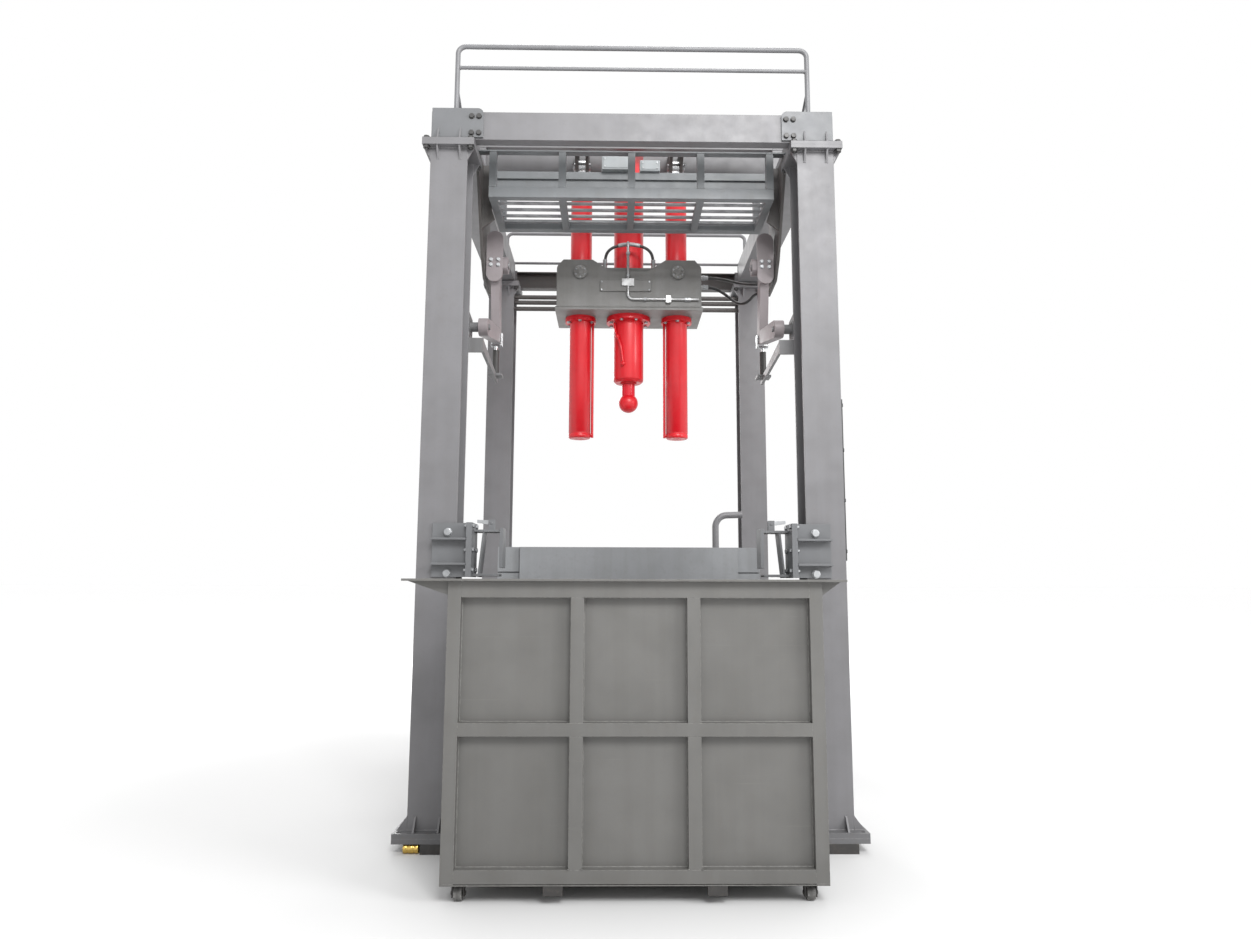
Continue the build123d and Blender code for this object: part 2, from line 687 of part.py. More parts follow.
def make_container():
    half = container_width / 2
    y0 = front - container_reach
    y1 = y0 + container_depth
    base_top = container_bottom + container_base_wall
    base = block(-half, half, y0, y1, container_bottom, base_top)
    width = container_bar_width
    for near in (y0 - 1, y1 - seam_depth):
        far = near + seam_depth + 1
        base -= block(-half + width, half - width, near, far, base_top - seam_height, base_top)
    bar = container_bar
    shell = block(-half + bar, half - bar, y0 + bar, y1 - bar, base_top, container_top)
    shell -= block(-half + bar + container_skin, half - bar - container_skin, y0 + bar + container_skin,
                   y1 - bar - container_skin, base_top + container_skin, container_top + 1)
    save("container_shell", [shell])
    rail_zs = [(base_top, base_top + container_rail_height),
               (container_mid_rail - container_rail_height / 2,
                container_mid_rail + container_rail_height / 2),
               (container_top - container_rail_height - 18, container_top)]
    rails = [base]
    for low, high in rail_zs:
        for near in (y0, y1 - bar):
            rails.append(block(-half + width, half - width, near, near + bar, low, high))
        for left in (-half, half - bar):
            rails.append(block(left, left + bar, y0 + width, y1 - width, low, high))
    ribs = []
    spans = [(rail_zs[0][1], rail_zs[1][0]), (rail_zs[1][1], rail_zs[2][0])]
    for low, high in spans:
        for x in (-half + container_width * 0.345, half - container_width * 0.345):
            for near in (y0, y1 - bar):
                ribs.append(block(x - width / 2, x + width / 2, near, near + bar, low, high))
        for share in (0.25, 0.5, 0.75):
            y = y0 + container_depth * share
            for left in (-half, half - bar):
                ribs.append(block(left, left + bar, y - width / 2, y + width / 2, low, high))
    for hx in (-1, 1):
        for near, far in ((y0, y0 + width), (y1 - width, y1)):
            ys = (near, near + bar) if near == y0 else (far - bar, far)
            flat = block(hx * (half - width), hx * half, *ys, base_top, container_top)
            side = block(hx * (half - bar), hx * half, near, far, base_top, container_top)
            ribs.append(flat + side)
    save("container_rails", rails)
    save("container_ribs", ribs)
    lip_top = container_top + lip_wall
    lip = block(-half, half, y0 - lip_front, y1, container_top, lip_top)
    lip -= block(-half + bar, half - bar, y0 + bar, y1 - bar, container_top - 1, lip_top + 1)
    for hand, reach in ((-1, lip_left), (1, lip_right)):
        flap_y = (y0 - lip_front, y0 - lip_front + lip_side_length)
        lip += block(hand * half, hand * (half + reach), *flap_y, container_top, lip_top)
        for y in (y0 + 20, y0 - lip_front + lip_side_length - 30):
            triangle = [(hand * half, container_top), (hand * (half + reach - 20), container_top),
                        (hand * half, container_top - 75)]
            lip += plate_xz(triangle, y, y + 10)
    save("container_lip", [lip])
    main_x = half - rear_beam_inset
    beam_high = lip_top + rear_beam_rise
    beam = tube_x(-main_x, main_x, y1 - 60, y1, lip_top, beam_high, 8)
    ends = [block(hand * main_x, hand * half, y1 - 25, y1, lip_top, beam_high) for hand in (-1, 1)]
    slot = block(-half - 1, half + 1, y1 - 26, y1 - 10, lip_top + 50, lip_top + 62)
    save("container_rear_beam", [beam + (ends[0] - slot) + (ends[1] - slot)])
    hook = [(660, y1 - 30, beam_high), (660, y1 - 30, beam_high + 245), (865, y1 - 30, beam_high + 252)]
    save("hook_tube", [bent_tube(hook, 90, 50, 4)])
    make_casters(y0, y1)


def make_casters(y0, y1):
    """Fixed rollers under the container's corners, and two rest blocks under its front edge."""
    x_mid = container_width / 2 - caster_inset
    forks = []
    for end, y in (("front", y0 + caster_inset), ("rear", y1 - caster_inset)):
        wheels = []
        for side in (-1, 1):
            x = side * x_mid
            cheek = wheel_width / 2 + 3
            fork_high = container_bottom - 12
            fork = block(x - cheek - 8, x + cheek + 8, y - 40, y + 40, fork_high, container_bottom)
            for hand in (-1, 1):
                fork += block(x + hand * cheek, x + hand * (cheek + 8), y - 22, y + 22, 20, fork_high)
            axle = rod_x(axle_radius, x - cheek - 14, x + cheek + 14, y, wheel_radius)
            forks += [fork - rod_x(axle_radius + running_gap, x - 99, x + 99, y, wheel_radius), axle]
            wheel = rod_x(wheel_radius, x - wheel_width / 2, x + wheel_width / 2, y, wheel_radius)
            wheels.append(wheel - rod_x(axle_radius + wheel_bore_gap, x - 99, x + 99, y, wheel_radius))
        save(f"{end}_wheels", wheels)
    rests = [block(side * 370, side * 470, y0 + 2, y0 + 42, 48, container_bottom) for side in (-1, 1)]
    save("caster_forks", forks + rests)


def hanger_plate():
    """The plate on the right that carries the arm's head, with the arc its pin runs in, and its front web."""
    hanger_in = inner_x - hanger_wall
    pivot_y = front + pivot[0]
    pivot_z = pivot[1]
    outline = [(pivot_y + y, pivot_z + z) for y, z in hanger_outline]
    plate = plate_yz(outline, hanger_in, inner_x, round_corners=40)
    reach = (arm_head[0] - pivot[0], arm_head[1] - pivot[1])
    radius = hypot(*reach)
    track = head_pin_radius + pin_play
    ring = rod_x(radius + track, hanger_in - 1, inner_x + 1, pivot_y, pivot_z)
    ring -= rod_x(radius - track, hanger_in - 2, inner_x + 2, pivot_y, pivot_z)
    spare = degrees(atan(track / radius)) + 0.4
    turned = [Vector(*reach).rotate(Axis.Z, step) for step in (-spare, arm_swing / 2, arm_swing + spare)]
    far = [(pivot_y + v.X * 1.3, pivot_z + v.Y * 1.3) for v in turned]
    wedge = plate_yz([(pivot_y, pivot_z)] + far, hanger_in - 1, inner_x + 1)
    plate -= ring & wedge
    web_y = front + 560
    clear_x = gallery_width / 2 + 6
    web_top = pivot_z + hanger_outline[0][1]
    web = [(hanger_in, web_top), (clear_x + 24, web_top), (clear_x, gallery_floor),
           (clear_x - 24, gallery_floor - 75), (hanger_in, gallery_floor - 145)]
    return [plate, plate_xz(web, web_y, web_y + 16)]


def arm_bracket():
    """What holds the right-hand arm and its actuator to the column: a lug with the pivot pin, and a strut."""
    inner = arm_plane - arm_wall / 2
    outer = arm_plane + arm_wall / 2
    lug_in = inner_x + 2
    lug_out = lug_in + 20
    rear_face = front + column_size
    pin_y = front + pivot[0]
    pin_z = pivot[1]
    corners_yz = [(rear_face, pin_z - 80), (pin_y + 70, pin_z - 70), (pin_y + 70, pin_z + 70),
                  (rear_face, pin_z + 90)]
    lug = plate_yz(corners_yz, lug_in, lug_out)
    lug += rod_x(pivot_pin_radius, inner - 12, lug_out, pin_y, pin_z)
    lug += rod_x(pivot_pin_radius + 14, outer + running_gap, lug_in, pin_y, pin_z)
    strut_in = arm_plane - 10
    wing = block(strut_in, inner_x + 75, rear_face, rear_face + 20, pin_z - 200, pin_z - 100)
    end_y = front + arm_tail[0] + 60
    run = [(rear_face + 20, actuator_foot), (end_y, actuator_foot - 55), (end_y, actuator_foot),
           (end_y - 110, actuator_foot), (rear_face + 20, actuator_foot + 75)]
    shelf = block(inner - 20, outer + 20, end_y - 110, end_y, actuator_foot - 18, actuator_foot)
    return [lug, wing + plate_yz(run, strut_in, strut_in + 20) + shelf]


def catch_arm():
    """The right-hand elbow arm with its hub and head pin, and the tongue plate on the hub's flat."""
    inner = arm_plane - arm_wall / 2
    outer = arm_plane + arm_wall / 2
    pivot_y = front + pivot[0]
    tail = (front + arm_tail[0], arm_tail[1])
    head = (front + arm_head[0], arm_head[1])
    arm = link_plate((pivot_y, pivot[1]), tail, arm_head_radius - 4, arm_tail_radius, inner, outer)
    arm += link_plate(tail, head, arm_tail_radius, arm_head_radius, inner, outer)
    arm += rod_x(arm_head_radius, hub_start, outer, *head)
    arm -= rod_x(pivot_pin_radius + 0.05, inner - 1, outer + 1, pivot_y, pivot[1])
    slot_radius = 10 + pin_play
    ends = [(tail[0] + shift, tail[1] - shift * tan(radians(arm_swing))) for shift in (-3, slot_length)]
    slot = plate_yz([(ends[0][0], ends[0][1] - slot_radius), (ends[1][0], ends[1][1] - slot_radius),
                     (ends[1][0], ends[1][1] + slot_radius), (ends[0][0], ends[0][1] + slot_radius)],
                    inner - 1, outer + 1)
    for end in ends:
        slot += rod_x(slot_radius, inner - 1, outer + 1, *end)
    arm -= slot
    flat_y = head[0] - arm_head_radius + 10
    arm -= block(hub_start - 1, outer + 1, flat_y - 60, flat_y, tongue_bottom - 30, tongue_top)
    arm += rod_x(head_pin_radius, hub_start - 8, inner_x + 14, *head)
    round_end = tongue_width / 2
    mid_x = inner_x - hanger_wall - 5 - round_end
    tongue = block(mid_x - round_end, mid_x + round_end, flat_y - tongue_wall, flat_y,
                   tongue_bottom + round_end, tongue_top - round_end)
    for z in (tongue_bottom + round_end, tongue_top - round_end):
        tongue += rod_y(round_end, mid_x, flat_y - tongue_wall, flat_y, z)
    return [arm, tongue]


def actuator_rod():
    """The right-hand actuator's rod with the fork and cross pin that carry the arm's tail."""
    inner = arm_plane - arm_wall / 2
    outer = arm_plane + arm_wall / 2
    y = front + arm_tail[0]
    z = arm_tail[1]
    fork_low = z - 70
    rod = rod_z(actuator_rod_radius, arm_plane, y, actuator_foot + 110, fork_low)
    rod += block(inner - 16, outer + 8, y - 20, y + 20, fork_low - 14, fork_low)
    for near, far in ((inner - 16, inner - 4), (outer + 2, outer + 8)):
        rod += block(near, far, y - 20, y + 20, fork_low, z + 18)
    return rod + rod_x(10, inner - 16, outer + 8, y, z)


def make_catch_arms():
    """Each side has a hanger plate, a bracket and strut on the column, an actuator and a swinging arm."""
    save("hanger_plates", [shape for piece in hanger_plate() for shape in both_sides(piece)])
    save("arm_brackets", [shape for piece in arm_bracket() for shape in both_sides(piece)])
    tail_y = front + arm_tail[0]
    barrel_top = actuator_foot + actuator_length
    barrel = rod_z(actuator_radius, arm_plane, tail_y, actuator_foot, barrel_top)
    barrel -= rod_z(actuator_rod_radius + running_gap, arm_plane, tail_y, actuator_foot + 15, barrel_top + 1)
    save("actuator_barrels", both_sides(barrel))
    for name, pieces in (("catch_arm", catch_arm()), ("actuator_rod", [actuator_rod()])):
        save(f"{name}_right", pieces)
        save(f"{name}_left", [mirror(piece, about=Plane.YZ) for piece in pieces])


def make_column_brackets(bolts):
    """Bolted brackets on the front columns that reach inward over the container's rim."""
    top = bracket_bottom + bracket_height
    plate_in = inner_x - 75
    plate_out = frame_width / 2 - 100
    wall = bracket_wall
    rib_depth = 60
    face = front - wall
    plate = block(plate_in, plate_out, face, front, bracket_bottom, top)
    for z in (bracket_bottom + 76, bracket_bottom + 234):
        plate += block(plate_in, plate_out, face - rib_depth, face, z, z + 12)
    side_depth = 150
    plate += block(plate_in - wall, plate_in, face - rib_depth, front + side_depth, bracket_bottom, top)
    bolt_zs = [bracket_bottom + 45, bracket_bottom + bracket_height / 2, top - 20]
    bolt_ys = [front - 40, front + 100]
    for z in anchor_bolt_heights():
        plate -= rod_y(bracket_bolt_radius + 1, bracket_bolt_x, face - 1, front + 1, z)
    joint_x = plate_in - wall
    inner_plate = block(joint_x - wall, joint_x, face - rib_depth, front + side_depth, bracket_bottom, top)
    for z in bolt_zs:
        for y in bolt_ys:
            hole = rod_x(joint_bolt_radius + 1, joint_x - wall - 1, joint_x + wall + 1, y, z)
            plate -= hole
            inner_plate -= hole
            for hand in (-1, 1):
                bolts += bolt(joint_bolt_radius, hand * (joint_x - wall), y, z, (hand, 0, 0), 2 * wall)
    save("column_brackets", both_sides(plate))
    end_x = inner_x - 275
    shelf_top = top - 40
    arm = inner_plate
    slant = [(joint_x - wall - 55, shelf_top), (joint_x - wall - 67, shelf_top),
             (joint_x - wall - 37, bracket_bottom), (joint_x - wall - 25, bracket_bottom)]
    arm += plate_xz(slant, front + 20, front + side_depth)
    for z in (bracket_bottom + 10, shelf_top - 12):
        arm += block(end_x, joint_x - wall, front + 20, front + side_depth, z, z + 12)
    arm += block(end_x - 22, end_x, front + 10, front + side_depth + 10, bracket_bottom + 60, shelf_top + 10)
    lever_x = end_x + 60
    lever_z = shelf_top + 45
    for y in (front + 60, front + 92):
        arm += block(lever_x - 20, lever_x + 20, y, y + 10, shelf_top, lever_z + 22)
    lever_pin = rod_y(8, lever_x, front + 56, front + 106, lever_z)
    save("guide_brackets", both_sides(arm + lever_pin))
    lever = plate_xz([(lever_x - 16, lever_z - 14), (lever_x + 95, lever_z + 2), (lever_x + 95, lever_z + 22),
                      (lever_x - 16, lever_z + 16)], front + 73, front + 89)
    lever += rod_y(18, lever_x, front + 73, front + 89, lever_z)
    lever -= rod_y(8.05, lever_x, front + 70, front + 92, lever_z)
    shapes = both_sides(lever)
    save("latch_lever_right", [shapes[0]])
    save("latch_lever_left", [shapes[1]])
    for side in (-1, 1):
        for z in anchor_bolt_heights():
            grip = wall + flange_wall
            bolts += bolt(bracket_bolt_radius, side * bracket_bolt_x, face, z, (0, 1, 0), grip)
    return bolts


# Hose routes, chosen by hand. The bridge hose: X, Y from the press axis, Z above the crosshead.
bridge_route = [(-200, -210, 30), (-200, -210, 110), (-155, -210, 175), (-70, -210, 205), (0, -210, 213),
                (70, -210, 205), (155, -210, 175), (200, -210, 110), (200, -210, 30)]
# The supply hoses: shares of the way from the crosshead's port to the frame's, across, back and down.
upper_shares = [(0, 0, 0), (0.18, 0, 0), (0.38, 0.13, 0.17), (0.57, 0.36, 0.5), (0.71, 0.73, 0.83),
                (0.85, 1, 1), (1, 1, 1)]
lower_shares = [(0, 0, 0), (0.18, 0, 0), (0.37, 0.11, 0.43), (0.51, 0.33, 1.04), (0.61, 0.62, 1.46),
                (0.73, 0.91, 1.5), (0.85, 1, 1), (1, 1, 1)]
hose_diameter = 24
port_radius = 18
port_length = 25
press_port_y = -150
upper_ports = (289, 600)
lower_ports = (209, 530)


def supply_route(shares, heights):
    """The points of a supply hose from the crosshead's end to the right-hand hanger plate's foot."""
    start_x = crosshead_length / 2 + port_length
    end_x = inner_x - hanger_wall - port_length
    start_y = middle + press_port_y
    foot_y_mid = front + pivot[0] + hanger_outline[3][0] - 35
    start_z = crosshead_bottom + heights[0]
    end_z = pivot[1] + heights[1]
    return [(start_x + across * (end_x - start_x), start_y + back_share * (foot_y_mid - start_y),
             start_z + down * (end_z - start_z)) for across, back_share, down in shares]


def make_piping():
    """Hoses between the crosshead and the frame, their ports, and the hard pipe on the front."""
    bridge = [(x, middle + y, crosshead_top + z) for x, y, z in bridge_route]
    routes = {"bridge_hose": bridge, "supply_hose_upper": supply_route(upper_shares, upper_ports),
              "supply_hose_lower": supply_route(lower_shares, lower_ports)}
    ports = {"crosshead": [], "frame": []}
    for name, points in routes.items():
        save(name, [hose(points, hose_diameter)])
        for (x, y, z) in (points[0], points[-1]):
            if name == "bridge_hose":
                ports["crosshead"].append(rod_z(port_radius, x, y, crosshead_top, z))
            elif x < inner_x - 2 * hose_diameter:
                ports["crosshead"].append(rod_x(port_radius, crosshead_length / 2, x, y, z))
            else:
                ports["frame"].append(rod_x(port_radius, x, inner_x - hanger_wall, y, z))
    save("hose_ports", ports["frame"])
    y = middle - crosshead_depth / 2 - saddle_wall - 14
    run = crosshead_bottom + 60
    route = [(-10, y, crosshead_top + 130), (-10, y, run), (crosshead_length / 2 - 20, y, run)]
    pipe = bent_tube(route, 45, 22, 3)
    clamps = []
    for box in ((-60, 40, y - 16, y + 14, run + 110, run + 170),
                (300, 340, y - 16, y + 14, run - 30, run + 30)):
        clamps.append(block(*box) - rod_z(11, -10, y, run + 50, run + 250) - rod_x(11, 250, 400, y, run))
    save("front_oil_pipe", [pipe] + clamps + ports["crosshead"])


os.makedirs("parts", exist_ok=True)
make_columns()
make_feet()
make_gussets()
frame_bolts = make_head_plates()
make_top_frame(frame_bolts)
make_guard_rails()
make_gallery()
make_girders()
make_crosshead()
make_cylinders()
make_ram()
make_container()
make_catch_arms()
make_column_brackets(frame_bolts)
save("frame_bolts", frame_bolts)
make_piping()
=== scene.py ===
import math

import bmesh
import bpy
from mathutils import Matrix, Vector


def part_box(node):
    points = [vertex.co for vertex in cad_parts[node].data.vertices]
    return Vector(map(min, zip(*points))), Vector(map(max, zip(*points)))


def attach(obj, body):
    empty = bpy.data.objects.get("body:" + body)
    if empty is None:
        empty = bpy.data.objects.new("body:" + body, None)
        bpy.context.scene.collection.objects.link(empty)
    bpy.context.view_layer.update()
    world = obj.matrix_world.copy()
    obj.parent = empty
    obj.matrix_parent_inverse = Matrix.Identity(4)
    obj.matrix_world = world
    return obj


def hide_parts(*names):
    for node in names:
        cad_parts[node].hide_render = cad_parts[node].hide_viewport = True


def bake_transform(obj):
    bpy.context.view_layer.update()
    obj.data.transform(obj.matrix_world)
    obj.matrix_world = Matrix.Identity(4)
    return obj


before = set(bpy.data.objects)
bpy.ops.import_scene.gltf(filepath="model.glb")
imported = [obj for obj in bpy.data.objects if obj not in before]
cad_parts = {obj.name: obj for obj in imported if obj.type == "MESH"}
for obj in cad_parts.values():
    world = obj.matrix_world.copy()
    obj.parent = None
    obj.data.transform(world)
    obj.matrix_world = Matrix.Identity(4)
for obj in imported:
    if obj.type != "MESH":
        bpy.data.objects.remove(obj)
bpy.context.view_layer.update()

# ---------------------------------------------------------------------------
# Viewpoint. A person stands five and a half metres in front of the columns, a little
# left of the middle, and looks up at the machine with a short lens.


def linked(name, data):
    """A new object that stands in the scene."""
    item = bpy.data.objects.new(name, data)
    bpy.context.collection.objects.link(item)
    return item


front_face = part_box("column_front_left")[0].y
camera_data = bpy.data.cameras.new("camera")
camera_data.lens = 24.4
camera_data.sensor_width = 36
camera = linked("camera", camera_data)
camera.location = (-0.121, front_face - 5.45, 1.624)
camera.rotation_euler = (math.radians(97.62), math.radians(-0.17), math.radians(-0.84))
bpy.context.scene.camera = camera
bpy.context.scene.view_settings.view_transform = "Standard"

# ---------------------------------------------------------------------------
# Studio. A pale floor whose colour is painted lighter with distance from the machine, up to
# white far off, to make up for the lamps' fall-off; an even white sky and large square
# lamps in front, at the side and overhead.
floor_mesh = bpy.data.meshes.new("studio_floor")
floor_reach = 400
floor_corners = ((-1, -1), (1, -1), (1, 1), (-1, 1))
floor_mesh.from_pydata([(x * floor_reach, y * floor_reach, 0) for x, y in floor_corners], [],
                       [(0, 1, 2, 3)])
studio_floor = linked("studio_floor", floor_mesh)
white_paper = bpy.data.materials.new("white_paper")
white_paper.use_nodes = True
paper_tree = white_paper.node_tree
paper_shader = paper_tree.nodes["Principled BSDF"]
paper_shader.inputs["Roughness"].default_value = 0.95
floor_place = paper_tree.nodes.new("ShaderNodeTexCoord").outputs["Object"]
reach_out = paper_tree.nodes.new("ShaderNodeVectorMath")
reach_out.operation = "LENGTH"
paper_tree.links.new(floor_place, reach_out.inputs[0])
# Painted light: the floor's colour rises from 0.56 at 3 m to white at 11 m, brightening the far floor where the
# lamps' light falls off.
painted_far_brightening = paper_tree.nodes.new("ShaderNodeMapRange")
painted_far_brightening.interpolation_type = "SMOOTHSTEP"
for entry, value in (("From Min", 3.0), ("From Max", 11.0), ("To Min", 0.56), ("To Max", 1.0)):
    painted_far_brightening.inputs[entry].default_value = value
paper_tree.links.new(reach_out.outputs["Value"], painted_far_brightening.inputs["Value"])
paper_tree.links.new(painted_far_brightening.outputs["Result"], paper_shader.inputs["Base Color"])
floor_mesh.materials.append(white_paper)

sky = bpy.data.worlds.new("studio_sky")
sky.use_nodes = True
sky.node_tree.nodes["Background"].inputs["Color"].default_value = (1, 1, 1, 1)
sky.node_tree.nodes["Background"].inputs["Strength"].default_value = 1.0
bpy.context.scene.world = sky


def softbox(name, place, target, size, power):
    """A large square lamp that faces a point of the machine."""
    lamp_data = bpy.data.lights.new(name, "AREA")
    lamp_data.size = size
    lamp_data.energy = power
    lamp = linked(name, lamp_data)
    lamp.location = place
    lamp.rotation_euler = (Vector(target) - Vector(place)).to_track_quat("-Z", "Y").to_euler()


softbox("front_lamp", (2, front_face - 9, 9), (0, 0, 2.5), 4, 1000)
softbox("right_lamp", (9, front_face - 6, 6), (0, 0, 2.5), 4, 700)
softbox("overhead_lamp", (0, 3, 15), (0, 1, 0), 10, 1100)
softbox("back_lamp", (-5, 13, 7), (0, 0, 2.5), 5, 500)

# ---------------------------------------------------------------------------
# Feet. Each column stands on two thick square plates with open anchor holes, on low
# packing blocks. Flame-cut steel, sprayed with a darker grey enamel than the frame's.


def speckle(tree, place, scale, detail=4.0, rough=0.55):
    """Cloudy noise on the piece's own coordinates."""
    texture = tree.nodes.new("ShaderNodeTexNoise")
    texture.inputs["Scale"].default_value = scale
    texture.inputs["Detail"].default_value = detail
    texture.inputs["Roughness"].default_value = rough
    tree.links.new(place, texture.inputs["Vector"])
    return texture.outputs["Fac"]


def graded(tree, amount, stops):
    """Turns an amount into a colour by (place, colour) stops."""
    node = tree.nodes.new("ShaderNodeValToRGB")
    marks = node.color_ramp.elements
    for mark, (position, colour) in zip((marks[0], marks[1]), (stops[0], stops[-1])):
        mark.position = position
        mark.color = (*colour, 1)
    for position, colour in stops[1:-1]:
        marks.new(position).color = (*colour, 1)
    tree.links.new(amount, node.inputs["Fac"])
    return node.outputs["Color"]


def layered(tree, amount, under, over, way="MIX"):
    """Lays one colour over another by an amount; each is a socket or three numbers."""
    node = tree.nodes.new("ShaderNodeMix")
    node.data_type = "RGBA"
    node.blend_type = way
    for label, value in (("Factor", amount), ("A", under), ("B", over)):
        kind = "VALUE" if label == "Factor" else "RGBA"
        entry = [s for s in node.inputs if s.name == label and s.type == kind][0]
        if isinstance(value, tuple):
            entry.default_value = (*value, 1)
        elif isinstance(value, (int, float)):
            entry.default_value = value
        else:
            tree.links.new(value, entry)
    return [s for s in node.outputs if s.type == "RGBA"][0]


def reckoned(tree, step, first, second=0.0, third=0.0, clamp=False):
    """One step of arithmetic on sockets or numbers."""
    node = tree.nodes.new("ShaderNodeMath")
    node.operation = step
    node.use_clamp = clamp
    for entry, value in zip(node.inputs, (first, second, third)):
        if isinstance(value, (int, float)):
            entry.default_value = value
        else:
            tree.links.new(value, entry)
    return node.outputs["Value"]


def drawn_out(tree, place, scale):
    """Coordinates drawn out along an axis, for runs and turning marks."""
    mapping = tree.nodes.new("ShaderNodeMapping")
    mapping.inputs["Scale"].default_value = scale
    tree.links.new(place, mapping.inputs["Vector"])
    return mapping.outputs["Vector"]


def opened(name, metallic=0.0, coat=0.0, coat_roughness=0.15):
    """A new finish: its material, tree, shader and object coordinates."""
    finish = bpy.data.materials.new(name)
    finish.use_nodes = True
    tree = finish.node_tree
    shader = tree.nodes["Principled BSDF"]
    shader.inputs["Metallic"].default_value = metallic
    shader.inputs["Coat Weight"].default_value = coat
    shader.inputs["Coat Roughness"].default_value = coat_roughness
    place = tree.nodes.new("ShaderNodeTexCoord").outputs["Object"]
    return finish, tree, shader, place


def worn_edges(tree, radius):
    """How sharply the surface turns within the radius, and the rounded normal."""
    bevel = tree.nodes.new("ShaderNodeBevel")
    bevel.samples = 4
    bevel.inputs["Radius"].default_value = radius
    surface = tree.nodes.new("ShaderNodeNewGeometry")
    dot = tree.nodes.new("ShaderNodeVectorMath")
    dot.operation = "DOT_PRODUCT"
    tree.links.new(bevel.outputs["Normal"], dot.inputs[0])
    tree.links.new(surface.outputs["True Normal"], dot.inputs[1])
    turned = reckoned(tree, "SUBTRACT", 1.0, dot.outputs["Value"])
    return reckoned(tree, "MULTIPLY", turned, 6.0, clamp=True), bevel.outputs["Normal"]


def dimpled(tree, height, normal, strength, distance):
    """A bump over the rounded normal."""
    bump = tree.nodes.new("ShaderNodeBump")
    bump.inputs["Strength"].default_value = strength
    bump.inputs["Distance"].default_value = distance
    tree.links.new(height, bump.inputs["Height"])
    if normal is not None:
        tree.links.new(normal, bump.inputs["Normal"])
    return bump.outputs["Normal"]


def enamel(name, colour, gloss=0.42, edge_strength=0.35, grime=0.3, runs=0.3, edge=0.003, coat=0.0,
           edge_colour=(0.36, 0.35, 0.33)):
    """Sprayed enamel: faded clouds, rain runs, dust, orange peel, and an edge colour in chipped spots on the
    edges: worn paint, and where that colour is lighter than the paint, also a painted edge highlight.
    """
    finish, tree, shader, place = opened(name, 0.0, coat)
    deep = tuple(c * 0.78 for c in colour)
    faded = tuple(min(c * 1.15, 1) for c in colour)
    clouds = graded(tree, speckle(tree, place, 0.9, 3), [(0.3, deep), (0.5, colour), (0.7, faded)])
    base = layered(tree, 0.4, colour, clouds)
    blotch = graded(tree, speckle(tree, place, 6, 5), [(0.34, (0.84, 0.84, 0.83)), (0.6, (1, 1, 1))])
    base = layered(tree, 0.6, base, blotch, "MULTIPLY")
    water = speckle(tree, drawn_out(tree, place, (14, 14, 0.5)), 1.0, 6)
    base = layered(tree, runs, base, graded(tree, water, [(0.42, (0.7, 0.68, 0.64)), (0.56, (1, 1, 1))]),
                   "MULTIPLY")
    dust = graded(tree, speckle(tree, place, 24, 8, 0.7), [(0.52, (0, 0, 0)), (0.74, (1, 1, 1))])
    base = layered(tree, reckoned(tree, "MULTIPLY", dust, grime * 0.5), base, (0.085, 0.072, 0.058))
    # Edges take the edge colour in chipped spots: paint worn through, and on the greys, whose edge colour is
    # lighter than the paint, also a painted highlight along the edges.
    edge_turn, rounded = worn_edges(tree, edge)
    chips = graded(tree, speckle(tree, place, 55, 6, 0.7), [(0.45, (0, 0, 0)), (0.56, (1, 1, 1))])
    edge_wear_and_highlight = reckoned(tree, "MULTIPLY", reckoned(tree, "MULTIPLY", edge_turn, chips), edge_strength, clamp=True)
    base = layered(tree, edge_wear_and_highlight, base, edge_colour)
    tree.links.new(base, shader.inputs["Base Color"])
    tree.links.new(reckoned(tree, "MULTIPLY_ADD", speckle(tree, place, 10, 5), 0.3, gloss - 0.13),
                   shader.inputs["Roughness"])
    peel = reckoned(tree, "MULTIPLY_ADD", speckle(tree, place, 7, 2), 1.5, speckle(tree, place, 230, 3))
    tree.links.new(dimpled(tree, peel, rounded, 0.14, 0.0015), shader.inputs["Normal"])
    return finish


def finish_nodes(finish, *names):
    """Puts a finish on CAD nodes in place of the plain one."""
    for name in names:
        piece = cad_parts[name]
        if not piece.material_slots:
            piece.data.materials.append(finish)
        for slot in piece.material_slots:
            slot.material = finish


grey_enamel = enamel("grey_enamel", (0.152, 0.150, 0.157), edge_strength=0.2, grime=0.3, runs=0.1)
foot_enamel = enamel("foot_enamel", (0.115, 0.115, 0.12), edge_strength=0.5, grime=0.8, runs=0.1)
black_primer = enamel("black_primer", (0.035, 0.033, 0.032), gloss=0.55, grime=0.8, runs=0.2)
finish_nodes(foot_enamel, "foot_plates")
finish_nodes(black_primer, "packing_blocks")

# ---------------------------------------------------------------------------
# Levelling roller. A short turned brass roller wedged under the left front foot,
# with two worn grooves, chamfered ends and a centre drilling at each end.


def meshed(name, shape):
    """The mesh that a shape under work ends as."""
    mesh = bpy.data.meshes.new(name)
    shape.to_mesh(mesh)
    shape.free()
    return mesh


def lathe(name, outline, axis_start, axis_end, steps=40):
    """A turned piece: the outline is (distance along the axis, radius) pairs, closed at both ends."""
    start, end = Vector(axis_start), Vector(axis_end)
    spin = Vector((0, 0, 1)).rotation_difference(end - start).to_matrix().to_4x4()
    shape = bmesh.new()
    rings = []
    for along, radius in outline:
        ring = []
        for step in range(1 if radius == 0 else steps):
            angle = 2 * math.pi * step / steps
            point = Vector((radius * math.cos(angle), radius * math.sin(angle), along))
            ring.append(shape.verts.new(start + spin @ point))
        rings.append(ring)
    for ring, following in zip(rings, rings[1:]):
        for step in range(steps):
            after = (step + 1) % steps
            corners = [ring[step % len(ring)], ring[after % len(ring)],
                       following[after % len(following)], following[step % len(following)]]
            corners = [corner for n, corner in enumerate(corners) if corner not in corners[:n]]
            if len(corners) > 2:
                shape.faces.new(corners)
    for face in shape.faces:
        face.smooth = True
    for line in shape.edges:
        if len(line.link_faces) == 2 and line.calc_face_angle(0) > 0.5:
            line.smooth = False
    bmesh.ops.recalc_face_normals(shape, faces=shape.faces)
    return linked(name, meshed(name, shape))


